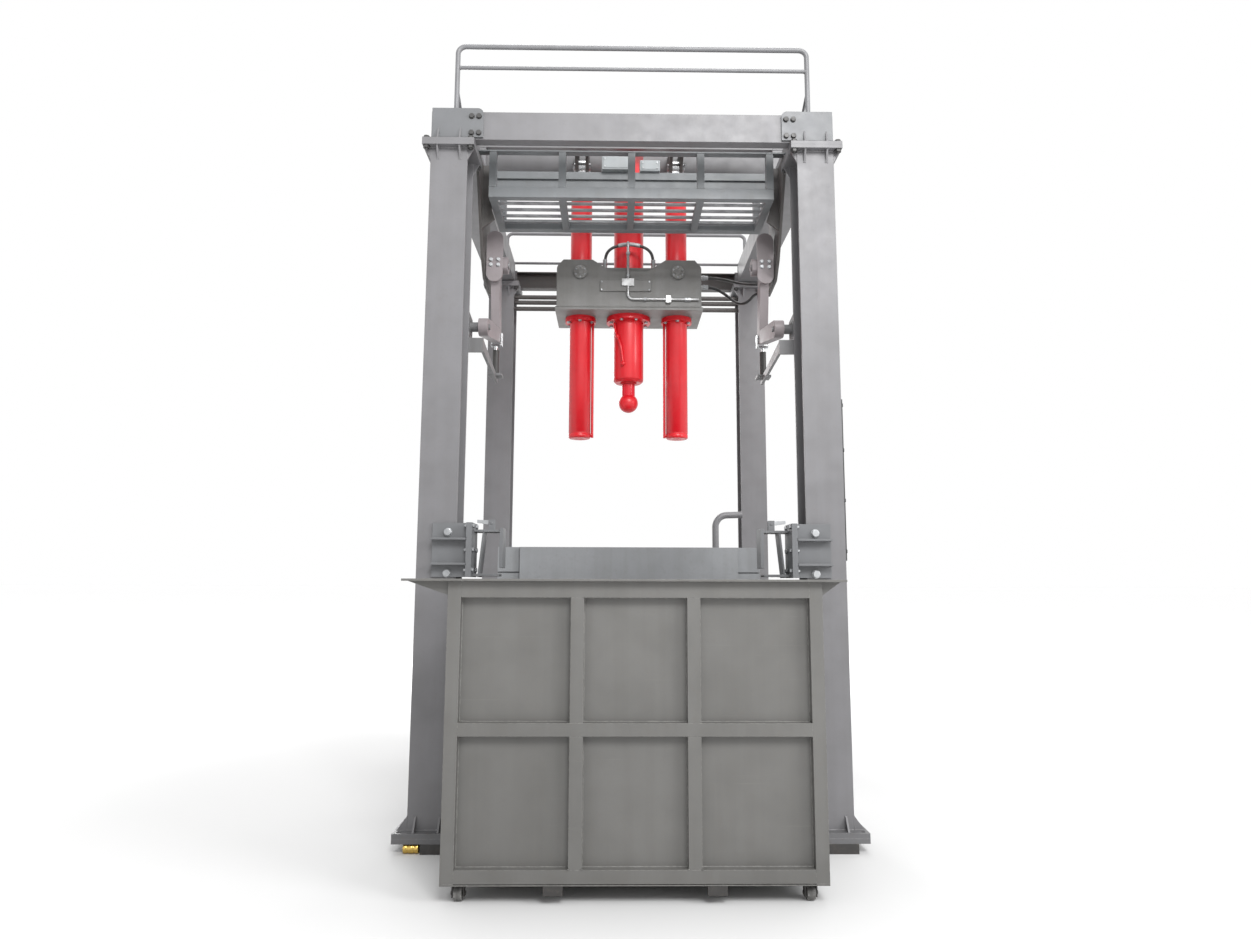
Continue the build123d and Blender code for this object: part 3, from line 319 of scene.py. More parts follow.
def merged(name, pieces):
    """Several pieces made into one mesh object."""
    shape = bmesh.new()
    finishes = []
    for piece in pieces:
        first = len(shape.faces)
        shape.from_mesh(piece.data)
        shape.faces.ensure_lookup_table()
        own = list(piece.data.materials)
        for face in shape.faces[first:]:
            if own:
                finish = own[min(face.material_index, len(own) - 1)]
                if finish not in finishes:
                    finishes.append(finish)
                face.material_index = finishes.index(finish)
    mesh = meshed(name, shape)
    for finish in finishes:
        mesh.materials.append(finish)
    for piece in pieces:
        bpy.data.objects.remove(piece)
    return linked(name, mesh)


def turned_metal(name, colour, roughness, tarnish, scale=(400, 6, 6), metallic=1.0):
    """Turned or drawn metal: fine marks, a cloudy tarnish and lighter rims."""
    finish, tree, shader, place = opened(name, metallic)
    marks = speckle(tree, drawn_out(tree, place, scale), 1.0, 3)
    clouds = graded(tree, speckle(tree, place, 9, 6, 0.65), [(0.4, (0, 0, 0)), (0.7, (1, 1, 1))])
    stained = tuple(c * 0.45 for c in colour)
    base = layered(tree, reckoned(tree, "MULTIPLY", clouds, tarnish), colour, stained)
    edge_turn, rounded = worn_edges(tree, 0.0015)
    # Every rim is mixed up to halfway towards a lighter copy of the metal's colour.
    base = layered(tree, reckoned(tree, "MULTIPLY", edge_turn, 0.5), base,
                   tuple(min(c * 1.3, 1) for c in colour))
    tree.links.new(base, shader.inputs["Base Color"])
    uneven = reckoned(tree, "MULTIPLY_ADD", clouds, 0.25, roughness)
    tree.links.new(reckoned(tree, "MULTIPLY_ADD", marks, 0.12, uneven), shader.inputs["Roughness"])
    tree.links.new(dimpled(tree, marks, rounded, 0.12, 0.0005), shader.inputs["Normal"])
    return finish


roller_low, roller_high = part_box("levelling_roller")
roller_radius = (roller_high.z - roller_low.z) / 2
roller_length = roller_high.x - roller_low.x
roller_y, roller_z = (roller_low.y + roller_high.y) / 2, (roller_low.z + roller_high.z) / 2
bite = 0.0025
roller_outline = [(0.006, 0), (0, 0.006), (0, roller_radius * 0.35), (0.002, roller_radius * 0.4),
                  (0, roller_radius * 0.45), (0, roller_radius - 0.003), (0.003, roller_radius)]
for groove in (0.28, 0.72):
    middle = roller_length * groove
    roller_outline += [(middle - 0.007, roller_radius), (middle - 0.004, roller_radius - bite),
                       (middle + 0.004, roller_radius - bite), (middle + 0.007, roller_radius)]
roller_outline += [(roller_length - along, radius) for along, radius in roller_outline[6::-1]]
roller = lathe("levelling_roller_turned", roller_outline, (roller_low.x, roller_y, roller_z),
               (roller_high.x, roller_y, roller_z), 48)
worn_brass = turned_metal("worn_brass", (0.72, 0.50, 0.14), 0.22, 0.5)
roller.data.materials.append(worn_brass)
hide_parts("levelling_roller")
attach(roller, "frame")

# ---------------------------------------------------------------------------
# Columns. Four rolled wide-flange sections, welded to the foot plates and to the head
# plates with a bead all round, then sprayed grey.
column_names = ("column_front_left", "column_front_right", "column_rear_left", "column_rear_right")
column_flange, column_web = 0.017, 0.010
finish_nodes(grey_enamel, *column_names)


def blank_tree(name, entries):
    """A Geometry Nodes tree with named inputs and one result."""
    tree = bpy.data.node_groups.new(name, "GeometryNodeTree")
    for label, kind in entries:
        tree.interface.new_socket(label, in_out="INPUT", socket_type=f"NodeSocket{kind}")
    tree.interface.new_socket("Result", in_out="OUTPUT", socket_type="NodeSocketGeometry")
    return tree, tree.nodes.new("NodeGroupInput"), tree.nodes.new("NodeGroupOutput")


def fabricated(name, start, tree, sizes):
    """Runs a tree on a mesh and keeps what it makes as a plain mesh piece."""
    blank = linked(name + "_blank", start)
    step = blank.modifiers.new("make", "NODES")
    step.node_group = tree
    for entry in tree.interface.items_tree:
        if entry.in_out == "INPUT" and entry.name in sizes:
            step[entry.identifier] = sizes[entry.name]
    ready = blank.evaluated_get(bpy.context.evaluated_depsgraph_get())
    mesh = bpy.data.meshes.new_from_object(ready)
    bpy.data.objects.remove(blank)
    return linked(name, mesh)


def weld_tree():
    """Sweeps a rippled bead along the edges of a mesh of seams."""
    tree, entry, leave = blank_tree("weld bead", [("Seams", "Geometry"), ("Bead radius", "Float"),
                                                  ("Step", "Float"), ("Paint", "Material")])
    line = tree.nodes.new("GeometryNodeMeshToCurve")
    even = tree.nodes.new("GeometryNodeResampleCurve")
    even.mode = "LENGTH"
    ring = tree.nodes.new("GeometryNodeCurvePrimitiveCircle")
    ring.inputs["Resolution"].default_value = 6
    swell = tree.nodes.new("FunctionNodeRandomValue")
    swell.data_type = "FLOAT"
    for label, value in (("Min", 0.82), ("Max", 1.18)):
        [s for s in swell.inputs if s.name == label and s.type == "VALUE"][0].default_value = value
    swell.inputs["Seed"].default_value = 7
    sweep_bead = tree.nodes.new("GeometryNodeCurveToMesh")
    smooth = tree.nodes.new("GeometryNodeSetShadeSmooth")
    real = tree.nodes.new("GeometryNodeRealizeInstances")
    paint = tree.nodes.new("GeometryNodeSetMaterial")
    join = tree.links.new
    join(entry.outputs["Seams"], line.inputs["Mesh"])
    join(line.outputs["Curve"], even.inputs["Curve"])
    join(entry.outputs["Step"], even.inputs["Length"])
    join(entry.outputs["Bead radius"], ring.inputs["Radius"])
    join(even.outputs["Curve"], sweep_bead.inputs["Curve"])
    join(ring.outputs["Curve"], sweep_bead.inputs["Profile Curve"])
    join([s for s in swell.outputs if s.type == "VALUE"][0], sweep_bead.inputs["Scale"])
    sweep_bead.inputs["Fill Caps"].default_value = True
    join(sweep_bead.outputs["Mesh"], smooth.inputs["Geometry"])
    join(smooth.outputs["Geometry"], real.inputs["Geometry"])
    join(real.outputs["Geometry"], paint.inputs["Geometry"])
    join(entry.outputs["Paint"], paint.inputs["Material"])
    join(paint.outputs["Geometry"], leave.inputs["Result"])
    return tree


weld_bead = weld_tree()


def welded(name, seams, body, radius, paint, step=0.012):
    """Lays a bead along seams, each a list of points, and lets it ride on a body."""
    points, lines = [], []
    for seam in seams:
        first = len(points)
        points += [tuple(point) for point in seam]
        lines += [(first + n, first + n + 1) for n in range(len(seam) - 1)]
    mesh = bpy.data.meshes.new(name + "_seams")
    mesh.from_pydata(points, lines, [])
    piece = fabricated(name, mesh, weld_bead, {"Bead radius": radius, "Step": step, "Paint": paint})
    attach(piece, body)
    return piece


def around(x0, x1, y0, y1, z):
    """A closed level seam round a rectangle."""
    return [(x0, y0, z), (x1, y0, z), (x1, y1, z), (x0, y1, z), (x0, y0, z)]


foot_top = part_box("column_front_left")[0].z
column_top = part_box("column_front_left")[1].z
column_seams = []
for name in column_names:
    low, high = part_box(name)
    web_x = (low.x + high.x) / 2
    for z in (foot_top, column_top):
        for near, far in ((low.y, low.y + column_flange), (high.y - column_flange, high.y)):
            column_seams.append(around(low.x, high.x, near, far, z))
        for side in (-1, 1):
            x = web_x + side * column_web / 2
            column_seams.append([(x, low.y + column_flange, z), (x, high.y - column_flange, z)])
welded("column_welds", column_seams, "frame", 0.006, grey_enamel)

# ---------------------------------------------------------------------------
# Gusset plates. Small triangles that stiffen each column's foot and head, tacked in
# place and then welded along both legs.
finish_nodes(grey_enamel, "gusset_plates")
gusset_wall, foot_reach, cap_reach, gusset_height = 0.012, 0.063, 0.042, 0.085
gusset_seams = []
for name in column_names:
    low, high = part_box(name)
    for z, rise, reach in ((foot_top, gusset_height, foot_reach), (column_top, -gusset_height, cap_reach)):
        for side, x in ((-1, low.x), (1, high.x)):
            for y in (low.y + column_flange / 2, high.y - column_flange / 2):
                for skin in (-gusset_wall / 2, gusset_wall / 2):
                    gusset_seams.append([(x + side * reach, y + skin, z), (x, y + skin, z),
                                         (x, y + skin, z + rise)])
        for side, y in ((-1, low.y), (1, high.y)):
            for x in ((low.x + high.x) / 2 - 0.075, (low.x + high.x) / 2 + 0.075):
                for skin in (-gusset_wall / 2, gusset_wall / 2):
                    gusset_seams.append([(x + skin, y + side * reach, z), (x + skin, y, z),
                                         (x + skin, y, z + rise)])
welded("gusset_welds", gusset_seams, "frame", 0.004, grey_enamel)

# ---------------------------------------------------------------------------
# Head plates, corner posts and top beams. Two flange plates are bolted together over
# each column, and the short posts on them carry the welded channel and box beams.
finish_nodes(grey_enamel, "cap_plates", "corner_posts", "front_top_beam", "side_top_beams")
pale_enamel = enamel("pale_grey_enamel", (0.132, 0.136, 0.143), edge_strength=0.25, grime=0.3, runs=0.1)
finish_nodes(pale_enamel, "splice_plates")
# A dark brown-grey enamel: on the rear top beam and the hanger plates it is painted shade, standing for the shade
# they lie in; on the rod clevises it is their dark primer.
dark_primer_and_shade_enamel = enamel("brown_grey_primer_and_painted_shade", (0.062, 0.057, 0.055), gloss=0.5, grime=0.5, runs=0.1)
finish_nodes(dark_primer_and_shade_enamel, "rear_top_beam")
cap_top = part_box("corner_posts")[0].z
beam_low, beam_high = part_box("side_top_beams")
post_seams = []
for name in column_names:
    low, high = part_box(name)
    for near, far in ((low.y, low.y + column_flange), (high.y - column_flange, high.y)):
        post_seams.append(around(low.x, high.x, near, far, cap_top))
for side in (-1, 1):
    for y in (beam_low.y, beam_high.y):
        for x in (abs(beam_high.x) - 0.25, abs(beam_high.x)):
            post_seams.append([(side * x, y, beam_low.z), (side * x, y, beam_high.z)])
        post_seams.append([(side * (beam_high.x - 0.25), y, beam_high.z),
                           (side * beam_high.x, y, beam_high.z)])
front_low, front_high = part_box("front_top_beam")
for x in (front_low.x, front_high.x):
    post_seams.append([(x, front_low.y, front_high.z), (x, front_high.y, front_high.z)])
welded("top_frame_welds", post_seams, "frame", 0.005, grey_enamel)

# ---------------------------------------------------------------------------
# Frame bolts. Hexagon bolts, zinc-plated or blackened, with a washer under the head and the
# nut; the thread stands a little out of each nut. Large ones hold the brackets on the columns.


def skinned(shape, rings):
    """Joins rings of vertices into a closed solid with flat ends."""
    for ring, following in zip(rings, rings[1:]):
        for step in range(len(ring)):
            after = (step + 1) % len(ring)
            shape.faces.new((ring[step], ring[after], following[after], following[step]))
    shape.faces.new(rings[-1])
    shape.faces.new(rings[0][::-1])


def hexagon(shape, across, height, place):
    """A hexagon with the round chamfer of a forged head."""
    apothem = across / 2
    steps = 36
    rings = [[], [], []]
    for step in range(steps):
        angle = 2 * math.pi * step / steps
        radius = apothem / math.cos((angle % (math.pi / 3)) - math.pi / 6)
        drop = max(radius - apothem * 0.96, 0) * 0.6
        for ring, size, z in ((0, radius, 0), (1, radius, height - drop), (2, apothem * 0.94, height)):
            point = Vector((size * math.cos(angle), size * math.sin(angle), z))
            rings[ring].append(shape.verts.new(place @ point))
    skinned(shape, rings)


def disc(shape, radius, height, place, steps=28):
    """A round plate with a broken edge."""
    rings = []
    for size, z in ((radius, 0), (radius, height * 0.75), (radius - height * 0.25, height)):
        rings.append([shape.verts.new(place @ Vector((size * math.cos(2 * math.pi * step / steps),
                                                      size * math.sin(2 * math.pi * step / steps), z)))
                      for step in range(steps)])
    skinned(shape, rings)


def bolt_pattern(name, radius, grip):
    """One bolt along Z: head and washer below the seat at zero, nut and thread above the grip."""
    shape = bmesh.new()
    washer = 0.22 * radius
    down = Matrix.Rotation(math.pi, 4, "X")
    disc(shape, 1.95 * radius, washer, down)
    hexagon(shape, 3.1 * radius, 1.25 * radius, down @ Matrix.Translation((0, 0, washer)))
    if grip:
        disc(shape, 1.95 * radius, washer, Matrix.Translation((0, 0, grip)))
        hexagon(shape, 3.1 * radius, 1.5 * radius, Matrix.Translation((0, 0, grip + washer)))
        thread = Matrix.Translation((0, 0, grip + washer + 1.5 * radius))
        disc(shape, radius * 0.94, 0.5 * radius, thread, 20)
    bmesh.ops.recalc_face_normals(shape, faces=shape.faces)
    return linked(name, meshed(name, shape))


def fastening_tree():
    """Sets a pattern piece on each point, turned along the point's own direction."""
    tree, entry, leave = blank_tree("fastenings", [("Places", "Geometry"), ("Pattern", "Object"),
                                                   ("Finish", "Material")])
    pattern = tree.nodes.new("GeometryNodeObjectInfo")
    along = tree.nodes.new("GeometryNodeInputNamedAttribute")
    along.data_type = "FLOAT_VECTOR"
    along.inputs["Name"].default_value = "along"
    face = tree.nodes.new("FunctionNodeAlignRotationToVector")
    face.axis = "Z"
    stand = tree.nodes.new("GeometryNodeInstanceOnPoints")
    real = tree.nodes.new("GeometryNodeRealizeInstances")
    paint = tree.nodes.new("GeometryNodeSetMaterial")
    join = tree.links.new
    join(entry.outputs["Pattern"], pattern.inputs["Object"])
    join(along.outputs["Attribute"], face.inputs["Vector"])
    join(entry.outputs["Places"], stand.inputs["Points"])
    join(pattern.outputs["Geometry"], stand.inputs["Instance"])
    join(face.outputs["Rotation"], stand.inputs["Rotation"])
    join(stand.outputs["Instances"], real.inputs["Geometry"])
    join(real.outputs["Geometry"], paint.inputs["Geometry"])
    join(entry.outputs["Finish"], paint.inputs["Material"])
    join(paint.outputs["Geometry"], leave.inputs["Result"])
    return tree


fastenings = fastening_tree()


def bolted(name, places, radius, grip, finish):
    """Sets bolts of a radius and a grip at (point, direction) places; a grip of 0 has no nut."""
    pattern = bolt_pattern(name + "_pattern", radius, grip)
    mesh = bpy.data.meshes.new(name + "_places")
    mesh.from_pydata([tuple(point) for point, _ in places], [], [])
    along = mesh.attributes.new("along", "FLOAT_VECTOR", "POINT")
    along.data.foreach_set("vector", [value for _, direction in places for value in direction])
    bolts = fabricated(name, mesh, fastenings, {"Pattern": pattern, "Finish": finish})
    bpy.data.objects.remove(pattern)
    return bolts


zinc = turned_metal("zinc_plate", (0.42, 0.43, 0.44), 0.36, 0.6, (60, 60, 60))
blackened = turned_metal("blackened_steel", (0.075, 0.074, 0.073), 0.38, 0.4, (60, 60, 60), 0.7)
corner_xy = [(0.5 * (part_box(name)[0].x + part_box(name)[1].x), 0.5 * (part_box(name)[0].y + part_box(name)[1].y))
             for name in column_names]
cap_bolt_reach, cap_grip, cap_bolt = 0.150, 0.050, 0.012
cap_places = [((x + hx * cap_bolt_reach, y + hy * cap_bolt_reach, cap_top), (0, 0, -1))
              for x, y in corner_xy for hx in (-1, 1) for hy in (-1, 1)]
splice_low, splice_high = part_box("splice_plates")
splice_start = splice_high.x - 0.350
splice_places = [((side * (splice_start + dx), splice_low.y, front_low.z + dz), (0, 1, 0))
                 for side in (-1, 1) for dx in (0.030, 0.080) for dz in (0.040, 0.160)]
bracket_low, bracket_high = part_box("column_brackets")
bracket_wall, inner_x = 0.018, 1.125
anchor_places = [((side * (inner_x + 0.050), front_face - bracket_wall, z), (0, 1, 0))
                 for side in (-1, 1) for z in (bracket_low.z + 0.024, bracket_high.z - 0.060)]
joint_x = inner_x - 0.075 - bracket_wall
joint_places = [((side * (joint_x - bracket_wall), y, z), (side, 0, 0)) for side in (-1, 1)
                for z in (bracket_low.z + 0.045, (bracket_low.z + bracket_high.z) / 2,
                          bracket_high.z - 0.020)
                for y in (front_face - 0.040, front_face + 0.100)]
bolt_sets = []
for label, places, radius, grip in (("cap", cap_places, cap_bolt, cap_grip),
                                    ("splice", splice_places, 0.010, 0.025),
                                    ("anchor", anchor_places, 0.014, 0.035),
                                    ("joint", joint_places, 0.008, 0.036)):
    plating = blackened if label in ("cap", "splice") else zinc
    bolt_sets.append(bolted(label + "_bolts", places, radius, grip, plating))
frame_bolts = merged("frame_bolts_forged", bolt_sets)
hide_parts("frame_bolts")
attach(frame_bolts, "frame")

# ---------------------------------------------------------------------------
# Guard rails. Bent tube hoops with a middle rail along the front and the back of the
# top. Each post is welded to a small foot plate and propped by a flat brace.
rail_enamel = enamel("rail_grey_enamel", (0.165, 0.166, 0.174), gloss=0.38, edge_strength=0.4, runs=0.1)
finish_nodes(rail_enamel, "front_guard_rail", "rear_guard_rail")


def flame_cut(name, outline, wall, place, broken_edge=0.0015):
    """A plate cut to an outline, with its edges broken by a grinder."""
    shape = bmesh.new()
    lower = [shape.verts.new((x, y, 0)) for x, y in outline]
    base = shape.faces.new(lower)
    raised = bmesh.ops.extrude_face_region(shape, geom=[base])["geom"]
    bmesh.ops.translate(shape, vec=(0, 0, wall),
                        verts=[part for part in raised if isinstance(part, bmesh.types.BMVert)])
    bmesh.ops.recalc_face_normals(shape, faces=shape.faces)
    bmesh.ops.bevel(shape, geom=list(shape.edges), offset=broken_edge, segments=2, affect="EDGES",
                    profile=0.5)
    bmesh.ops.transform(shape, matrix=place, verts=shape.verts)
    bmesh.ops.recalc_face_normals(shape, faces=shape.faces)
    return linked(name, meshed(name, shape))


def rounded_box_outline(width, depth, corner, steps=5):
    """A rectangle with round corners, as a list of points."""
    points = []
    for number, (sx, sy) in enumerate(((1, 1), (-1, 1), (-1, -1), (1, -1))):
        for step in range(steps + 1):
            angle = math.pi / 2 * (number + step / steps)
            points.append((sx * (width / 2 - corner) + corner * math.cos(angle),
                           sy * (depth / 2 - corner) + corner * math.sin(angle)))
    return points


def laid(x, y, z, across=(1, 0, 0), up=(0, 0, 1)):
    """Where a plate goes: its origin, the way its width runs and the way its wall grows."""
    wide, grow = Vector(across).normalized(), Vector(up).normalized()
    tall = grow.cross(wide)
    turn = Matrix((wide, tall, grow)).transposed().to_4x4()
    return Matrix.Translation((x, y, z)) @ turn


def swept(name, points, order, resolution, radius=0.0):
    """The mesh of a smooth line through points, round where it has a radius."""
    line = bpy.data.curves.new(name, "CURVE")
    line.dimensions = "3D"
    line.bevel_depth = radius
    line.bevel_resolution = 4
    line.use_fill_caps = True
    spline = line.splines.new("NURBS")
    spline.points.add(len(points) - 1)
    for knot, point in zip(spline.points, points):
        knot.co = (*point, 1)
    spline.order_u = order
    spline.use_endpoint_u = True
    spline.resolution_u = resolution
    blank = linked(name + "_line", line)
    mesh = bpy.data.meshes.new_from_object(blank.evaluated_get(bpy.context.evaluated_depsgraph_get()))
    bpy.data.objects.remove(blank)
    return mesh


def drawn_pipe(name, points, radius, finish, order=3):
    """A round bar or pipe along a smooth line."""
    mesh = swept(name, points, order, 10, radius)
    mesh.materials.append(finish)
    return linked(name, mesh)


rail_feet, rail_seams = [], []
for node, toward in (("front_guard_rail", 1), ("rear_guard_rail", -1)):
    low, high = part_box(node)
    y = (low.y + high.y) / 2
    hoop_x = high.x - 0.017
    mid_z = high.z - (0.175 if node == "front_guard_rail" else 0.330)
    for side in (-1, 1):
        x = side * hoop_x
        prop = [(x, y + toward * 0.010, low.z + 0.205), (x, y + toward * 0.385, low.z + 0.004)]
        foot = flame_cut("rail_foot", rounded_box_outline(0.09, 0.075, 0.008), 0.008, laid(x, y, low.z))
        landing = flame_cut("prop_foot", rounded_box_outline(0.06, 0.06, 0.008), 0.006,
                            laid(x, y + toward * 0.385, low.z))
        for piece in (foot, landing):
            piece.data.materials.append(rail_enamel)
        rail_feet += [foot, landing, drawn_pipe("rail_prop", prop, 0.010, rail_enamel, 2)]
        rail_seams.append([(x + 0.018 * math.cos(2 * math.pi * n / 16),
                            y + 0.018 * math.sin(2 * math.pi * n / 16),
                            low.z + 0.008) for n in range(17)])
        rail_seams.append([(side * (hoop_x - 0.018), y + 0.013 * math.cos(2 * math.pi * n / 12),
                            mid_z + 0.013 * math.sin(2 * math.pi * n / 12)) for n in range(13)])
feet = merged("rail_feet", rail_feet)
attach(feet, "frame")
welded("rail_welds", rail_seams, "frame", 0.0035, rail_enamel, 0.006)

# ---------------------------------------------------------------------------
# Service gallery. Box-section verticals between two chords hang behind the front beam,
# with galvanised flats laid as an open floor below them.
gallery_enamel = enamel("gallery_enamel", (0.150, 0.160, 0.168), gloss=0.46, edge_strength=0.3, grime=0.45,
                        runs=0.15)
finish_nodes(gallery_enamel, "gallery_frame")
galvanised = turned_metal("galvanised_flats", (0.34, 0.345, 0.355), 0.45, 0.6, (3, 200, 200), 0.6)
finish_nodes(galvanised, "gallery_slats")
gallery_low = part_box("gallery_frame")[0]
gallery_y0, gallery_half, gallery_post = front_face + 0.350, 1.030, 0.052
chord_top, flange_low = gallery_low.z + 0.080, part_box("front_top_beam")[1].z - 0.095
gallery_seams = []
for bay in range(5):
    x0 = -gallery_half + bay * (2 * gallery_half - gallery_post) / 4
    for z in (chord_top, flange_low):
        gallery_seams.append(around(x0, x0 + gallery_post, gallery_y0, gallery_y0 + gallery_post, z))
    for side in (0, gallery_post):
        gallery_seams.append([(x0 + side, gallery_y0 + 0.060, gallery_low.z + 0.002),
                              (x0 + side, gallery_y0 + 0.060, gallery_low.z + 0.038)])
for y in (gallery_y0, gallery_y0 + 0.060):
    for side in (-1, 1):
        gallery_seams.append([(side * 1.1245, y, flange_low), (side * 1.1245, y, flange_low + 0.010)])
welded("gallery_welds", gallery_seams, "frame", 0.004, gallery_enamel, 0.008)

# ---------------------------------------------------------------------------
# Valve boxes. Two folded sheet cabinets on the gallery's rear flange, with a screwed
# lid and rubber cable glands underneath.
cabinet_enamel = enamel("cabinet_enamel", (0.27, 0.29, 0.30), gloss=0.4, edge_strength=0.2, grime=0.25, runs=0.2)
finish_nodes(cabinet_enamel, "valve_boxes")
black_rubber = enamel("black_rubber", (0.018, 0.018, 0.019), gloss=0.5, edge_strength=0.0, grime=0.35, runs=0.0)
box_low, box_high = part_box("valve_boxes")
lids, lid_screws, glands = [], [], []
for x0, x1, lid_y, top in ((box_low.x, 0.015, box_high.y - 0.130, box_high.z),
                           (0.075, box_high.x, box_high.y - 0.110, box_high.z - 0.020)):
    wide, tall = x1 - x0 - 0.024, top - box_low.z - 0.024
    middle_x, middle_z = (x0 + x1) / 2, (top + box_low.z) / 2
    lids.append(flame_cut("lid", rounded_box_outline(wide, tall, 0.006), 0.004,
                          laid(middle_x, lid_y, middle_z, (1, 0, 0), (0, -1, 0)), 0.001))
    for sx in (-1, 1):
        for sz in (-1, 1):
            lid_screws.append(((middle_x + sx * (wide / 2 - 0.012), lid_y - 0.0042,
                                middle_z + sz * (tall / 2 - 0.012)),
                               (0, 1, 0)))
    for offset in (-0.04, 0.04):
        gx = middle_x + offset
        outline = [(0, 0), (0, 0.006), (0.008, 0.008), (0.009, 0.013), (0.022, 0.013), (0.022, 0)]
        glands.append(lathe("gland", outline, (gx, lid_y + 0.05, top + 0.021), (gx, lid_y + 0.05, top), 24))
lid_piece = merged("valve_box_lids", lids)
lid_piece.data.materials.append(cabinet_enamel)
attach(lid_piece, "frame")
screws = bolted("valve_box_screws", lid_screws, 0.0035, 0, zinc)
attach(screws, "frame")
gland_piece = merged("cable_glands", glands)
gland_piece.data.materials.append(black_rubber)
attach(gland_piece, "frame")

# ---------------------------------------------------------------------------
# Girders and clevises. Two box girders cross the frame on short posts. Welded ears
# between them carry the pins that the side cylinders' rods hang from.
finish_nodes(grey_enamel, "cylinder_girders")
finish_nodes(dark_primer_and_shade_enamel, "rod_clevises")
ground_steel = turned_metal("ground_steel", (0.42, 0.42, 0.43), 0.25, 0.4, (8, 300, 300))
finish_nodes(ground_steel, "clevis_pins")
hard_chrome = turned_metal("hard_chrome", (0.62, 0.63, 0.64), 0.1, 0.3, (250, 250, 3))
finish_nodes(hard_chrome, "side_rods")
girder_low, girder_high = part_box("cylinder_girders")
middle_y = (girder_low.y + girder_high.y) / 2
girder_bottom = girder_high.z - 0.200
girder_seams = []
for near in (girder_low.y, girder_high.y - 0.100):
    for side in (-1, 1):
        for z in (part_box("corner_posts")[1].z, girder_bottom):
            girder_seams.append(around(side * 1.25 - 0.050, side * 1.25 + 0.050, near, near + 0.100, z))
pin_low, pin_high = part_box("clevis_pins")
pin_z = (pin_low.z + pin_high.z) / 2
keepers, keeper_screws = [], []
for side in (-1, 1):
    for hand in (-1, 1):
        ear = side * 0.405 + hand * 0.057
        for end in (-1, 1):
            girder_seams.append([(ear, middle_y + end * 0.170, girder_bottom + 0.020),
                                 (ear, middle_y + end * 0.170, girder_bottom + 0.150)])
    outer = side * 0.405 + side * 0.071
    keepers.append(flame_cut("keeper", rounded_box_outline(0.110, 0.030, 0.006), 0.006,
                             laid(outer, middle_y, pin_z + 0.012, (0, 1, 0), (side, 0, 0))))
    for end in (-1, 1):
        keeper_screws.append(((outer + side * 0.006, middle_y + end * 0.040, pin_z + 0.012), (-side, 0, 0)))
welded("girder_welds", girder_seams, "frame", 0.005, grey_enamel)
keeper_piece = merged("pin_keepers", keepers)
keeper_piece.data.materials.append(zinc)
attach(keeper_piece, "frame")
screws = bolted("keeper_screws", keeper_screws, 0.005, 0, zinc)
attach(screws, "frame")

# ---------------------------------------------------------------------------
# Crosshead. A welded plate box with saddle plates on its faces and a thick base plate.
# Its seams are ground at the corners; a bolted cover closes the inspection hole.
crosshead_enamel = enamel("crosshead_enamel", (0.165, 0.163, 0.158), gloss=0.45, grime=0.6, runs=0.25)
finish_nodes(crosshead_enamel, "crosshead_block", "crosshead_base_plate", "saddle_plates")
cross_low, cross_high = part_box("crosshead_block")
plate_low, plate_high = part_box("saddle_plates")
cross_seams = [around(cross_low.x, cross_high.x, plate_low.y, plate_high.y, cross_low.z)]
for y in (cross_low.y, cross_high.y):
    for side in (-1, 1):
        cross_seams.append([(side * cross_high.x, y, cross_low.z), (side * cross_high.x, y, cross_high.z)])
        cross_seams.append([(side * cross_high.x, y, cross_high.z), (side * 0.257, y, cross_high.z)])
welded("crosshead_welds", cross_seams, "crosshead", 0.006, crosshead_enamel)
face_y = plate_low.y
cover = flame_cut("inspection_cover", rounded_box_outline(0.418, 0.094, 0.010), 0.014,
                  laid(-0.030, face_y, 4.035, (1, 0, 0), (0, -1, 0)), 0.003)
bosses = [cover]
for side in (-1, 1):
    boss_outline = [(0, 0), (0, 0.020), (0.003, 0.024), (0.010, 0.024), (0.010, 0.050), (0.014, 0.056),
                    (0.034, 0.056),
                    (0.034, 0)]
    bosses.append(lathe("trunnion_cap", boss_outline, (side * 0.400, face_y - 0.034, 4.150),
                        (side * 0.400, face_y, 4.150), 36))
caps = merged("crosshead_caps", bosses)
caps.data.materials.append(crosshead_enamel)
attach(caps, "crosshead")
cover_screws = [((-0.030 + sx * 0.195, face_y - 0.014, 4.035 + sz * 0.034), (0, 1, 0))
                for sx in (-1, 1) for sz in (-1, 1)]
for side in (-1, 1):
    for turn in range(6):
        angle = math.radians(60 * turn + 30)
        cover_screws.append(((side * 0.400 + 0.042 * math.cos(angle), face_y - 0.024,
                              4.150 + 0.042 * math.sin(angle)),
                             (0, 1, 0)))
screws = bolted("crosshead_screws", cover_screws, 0.004, 0, zinc)
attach(screws, "crosshead")

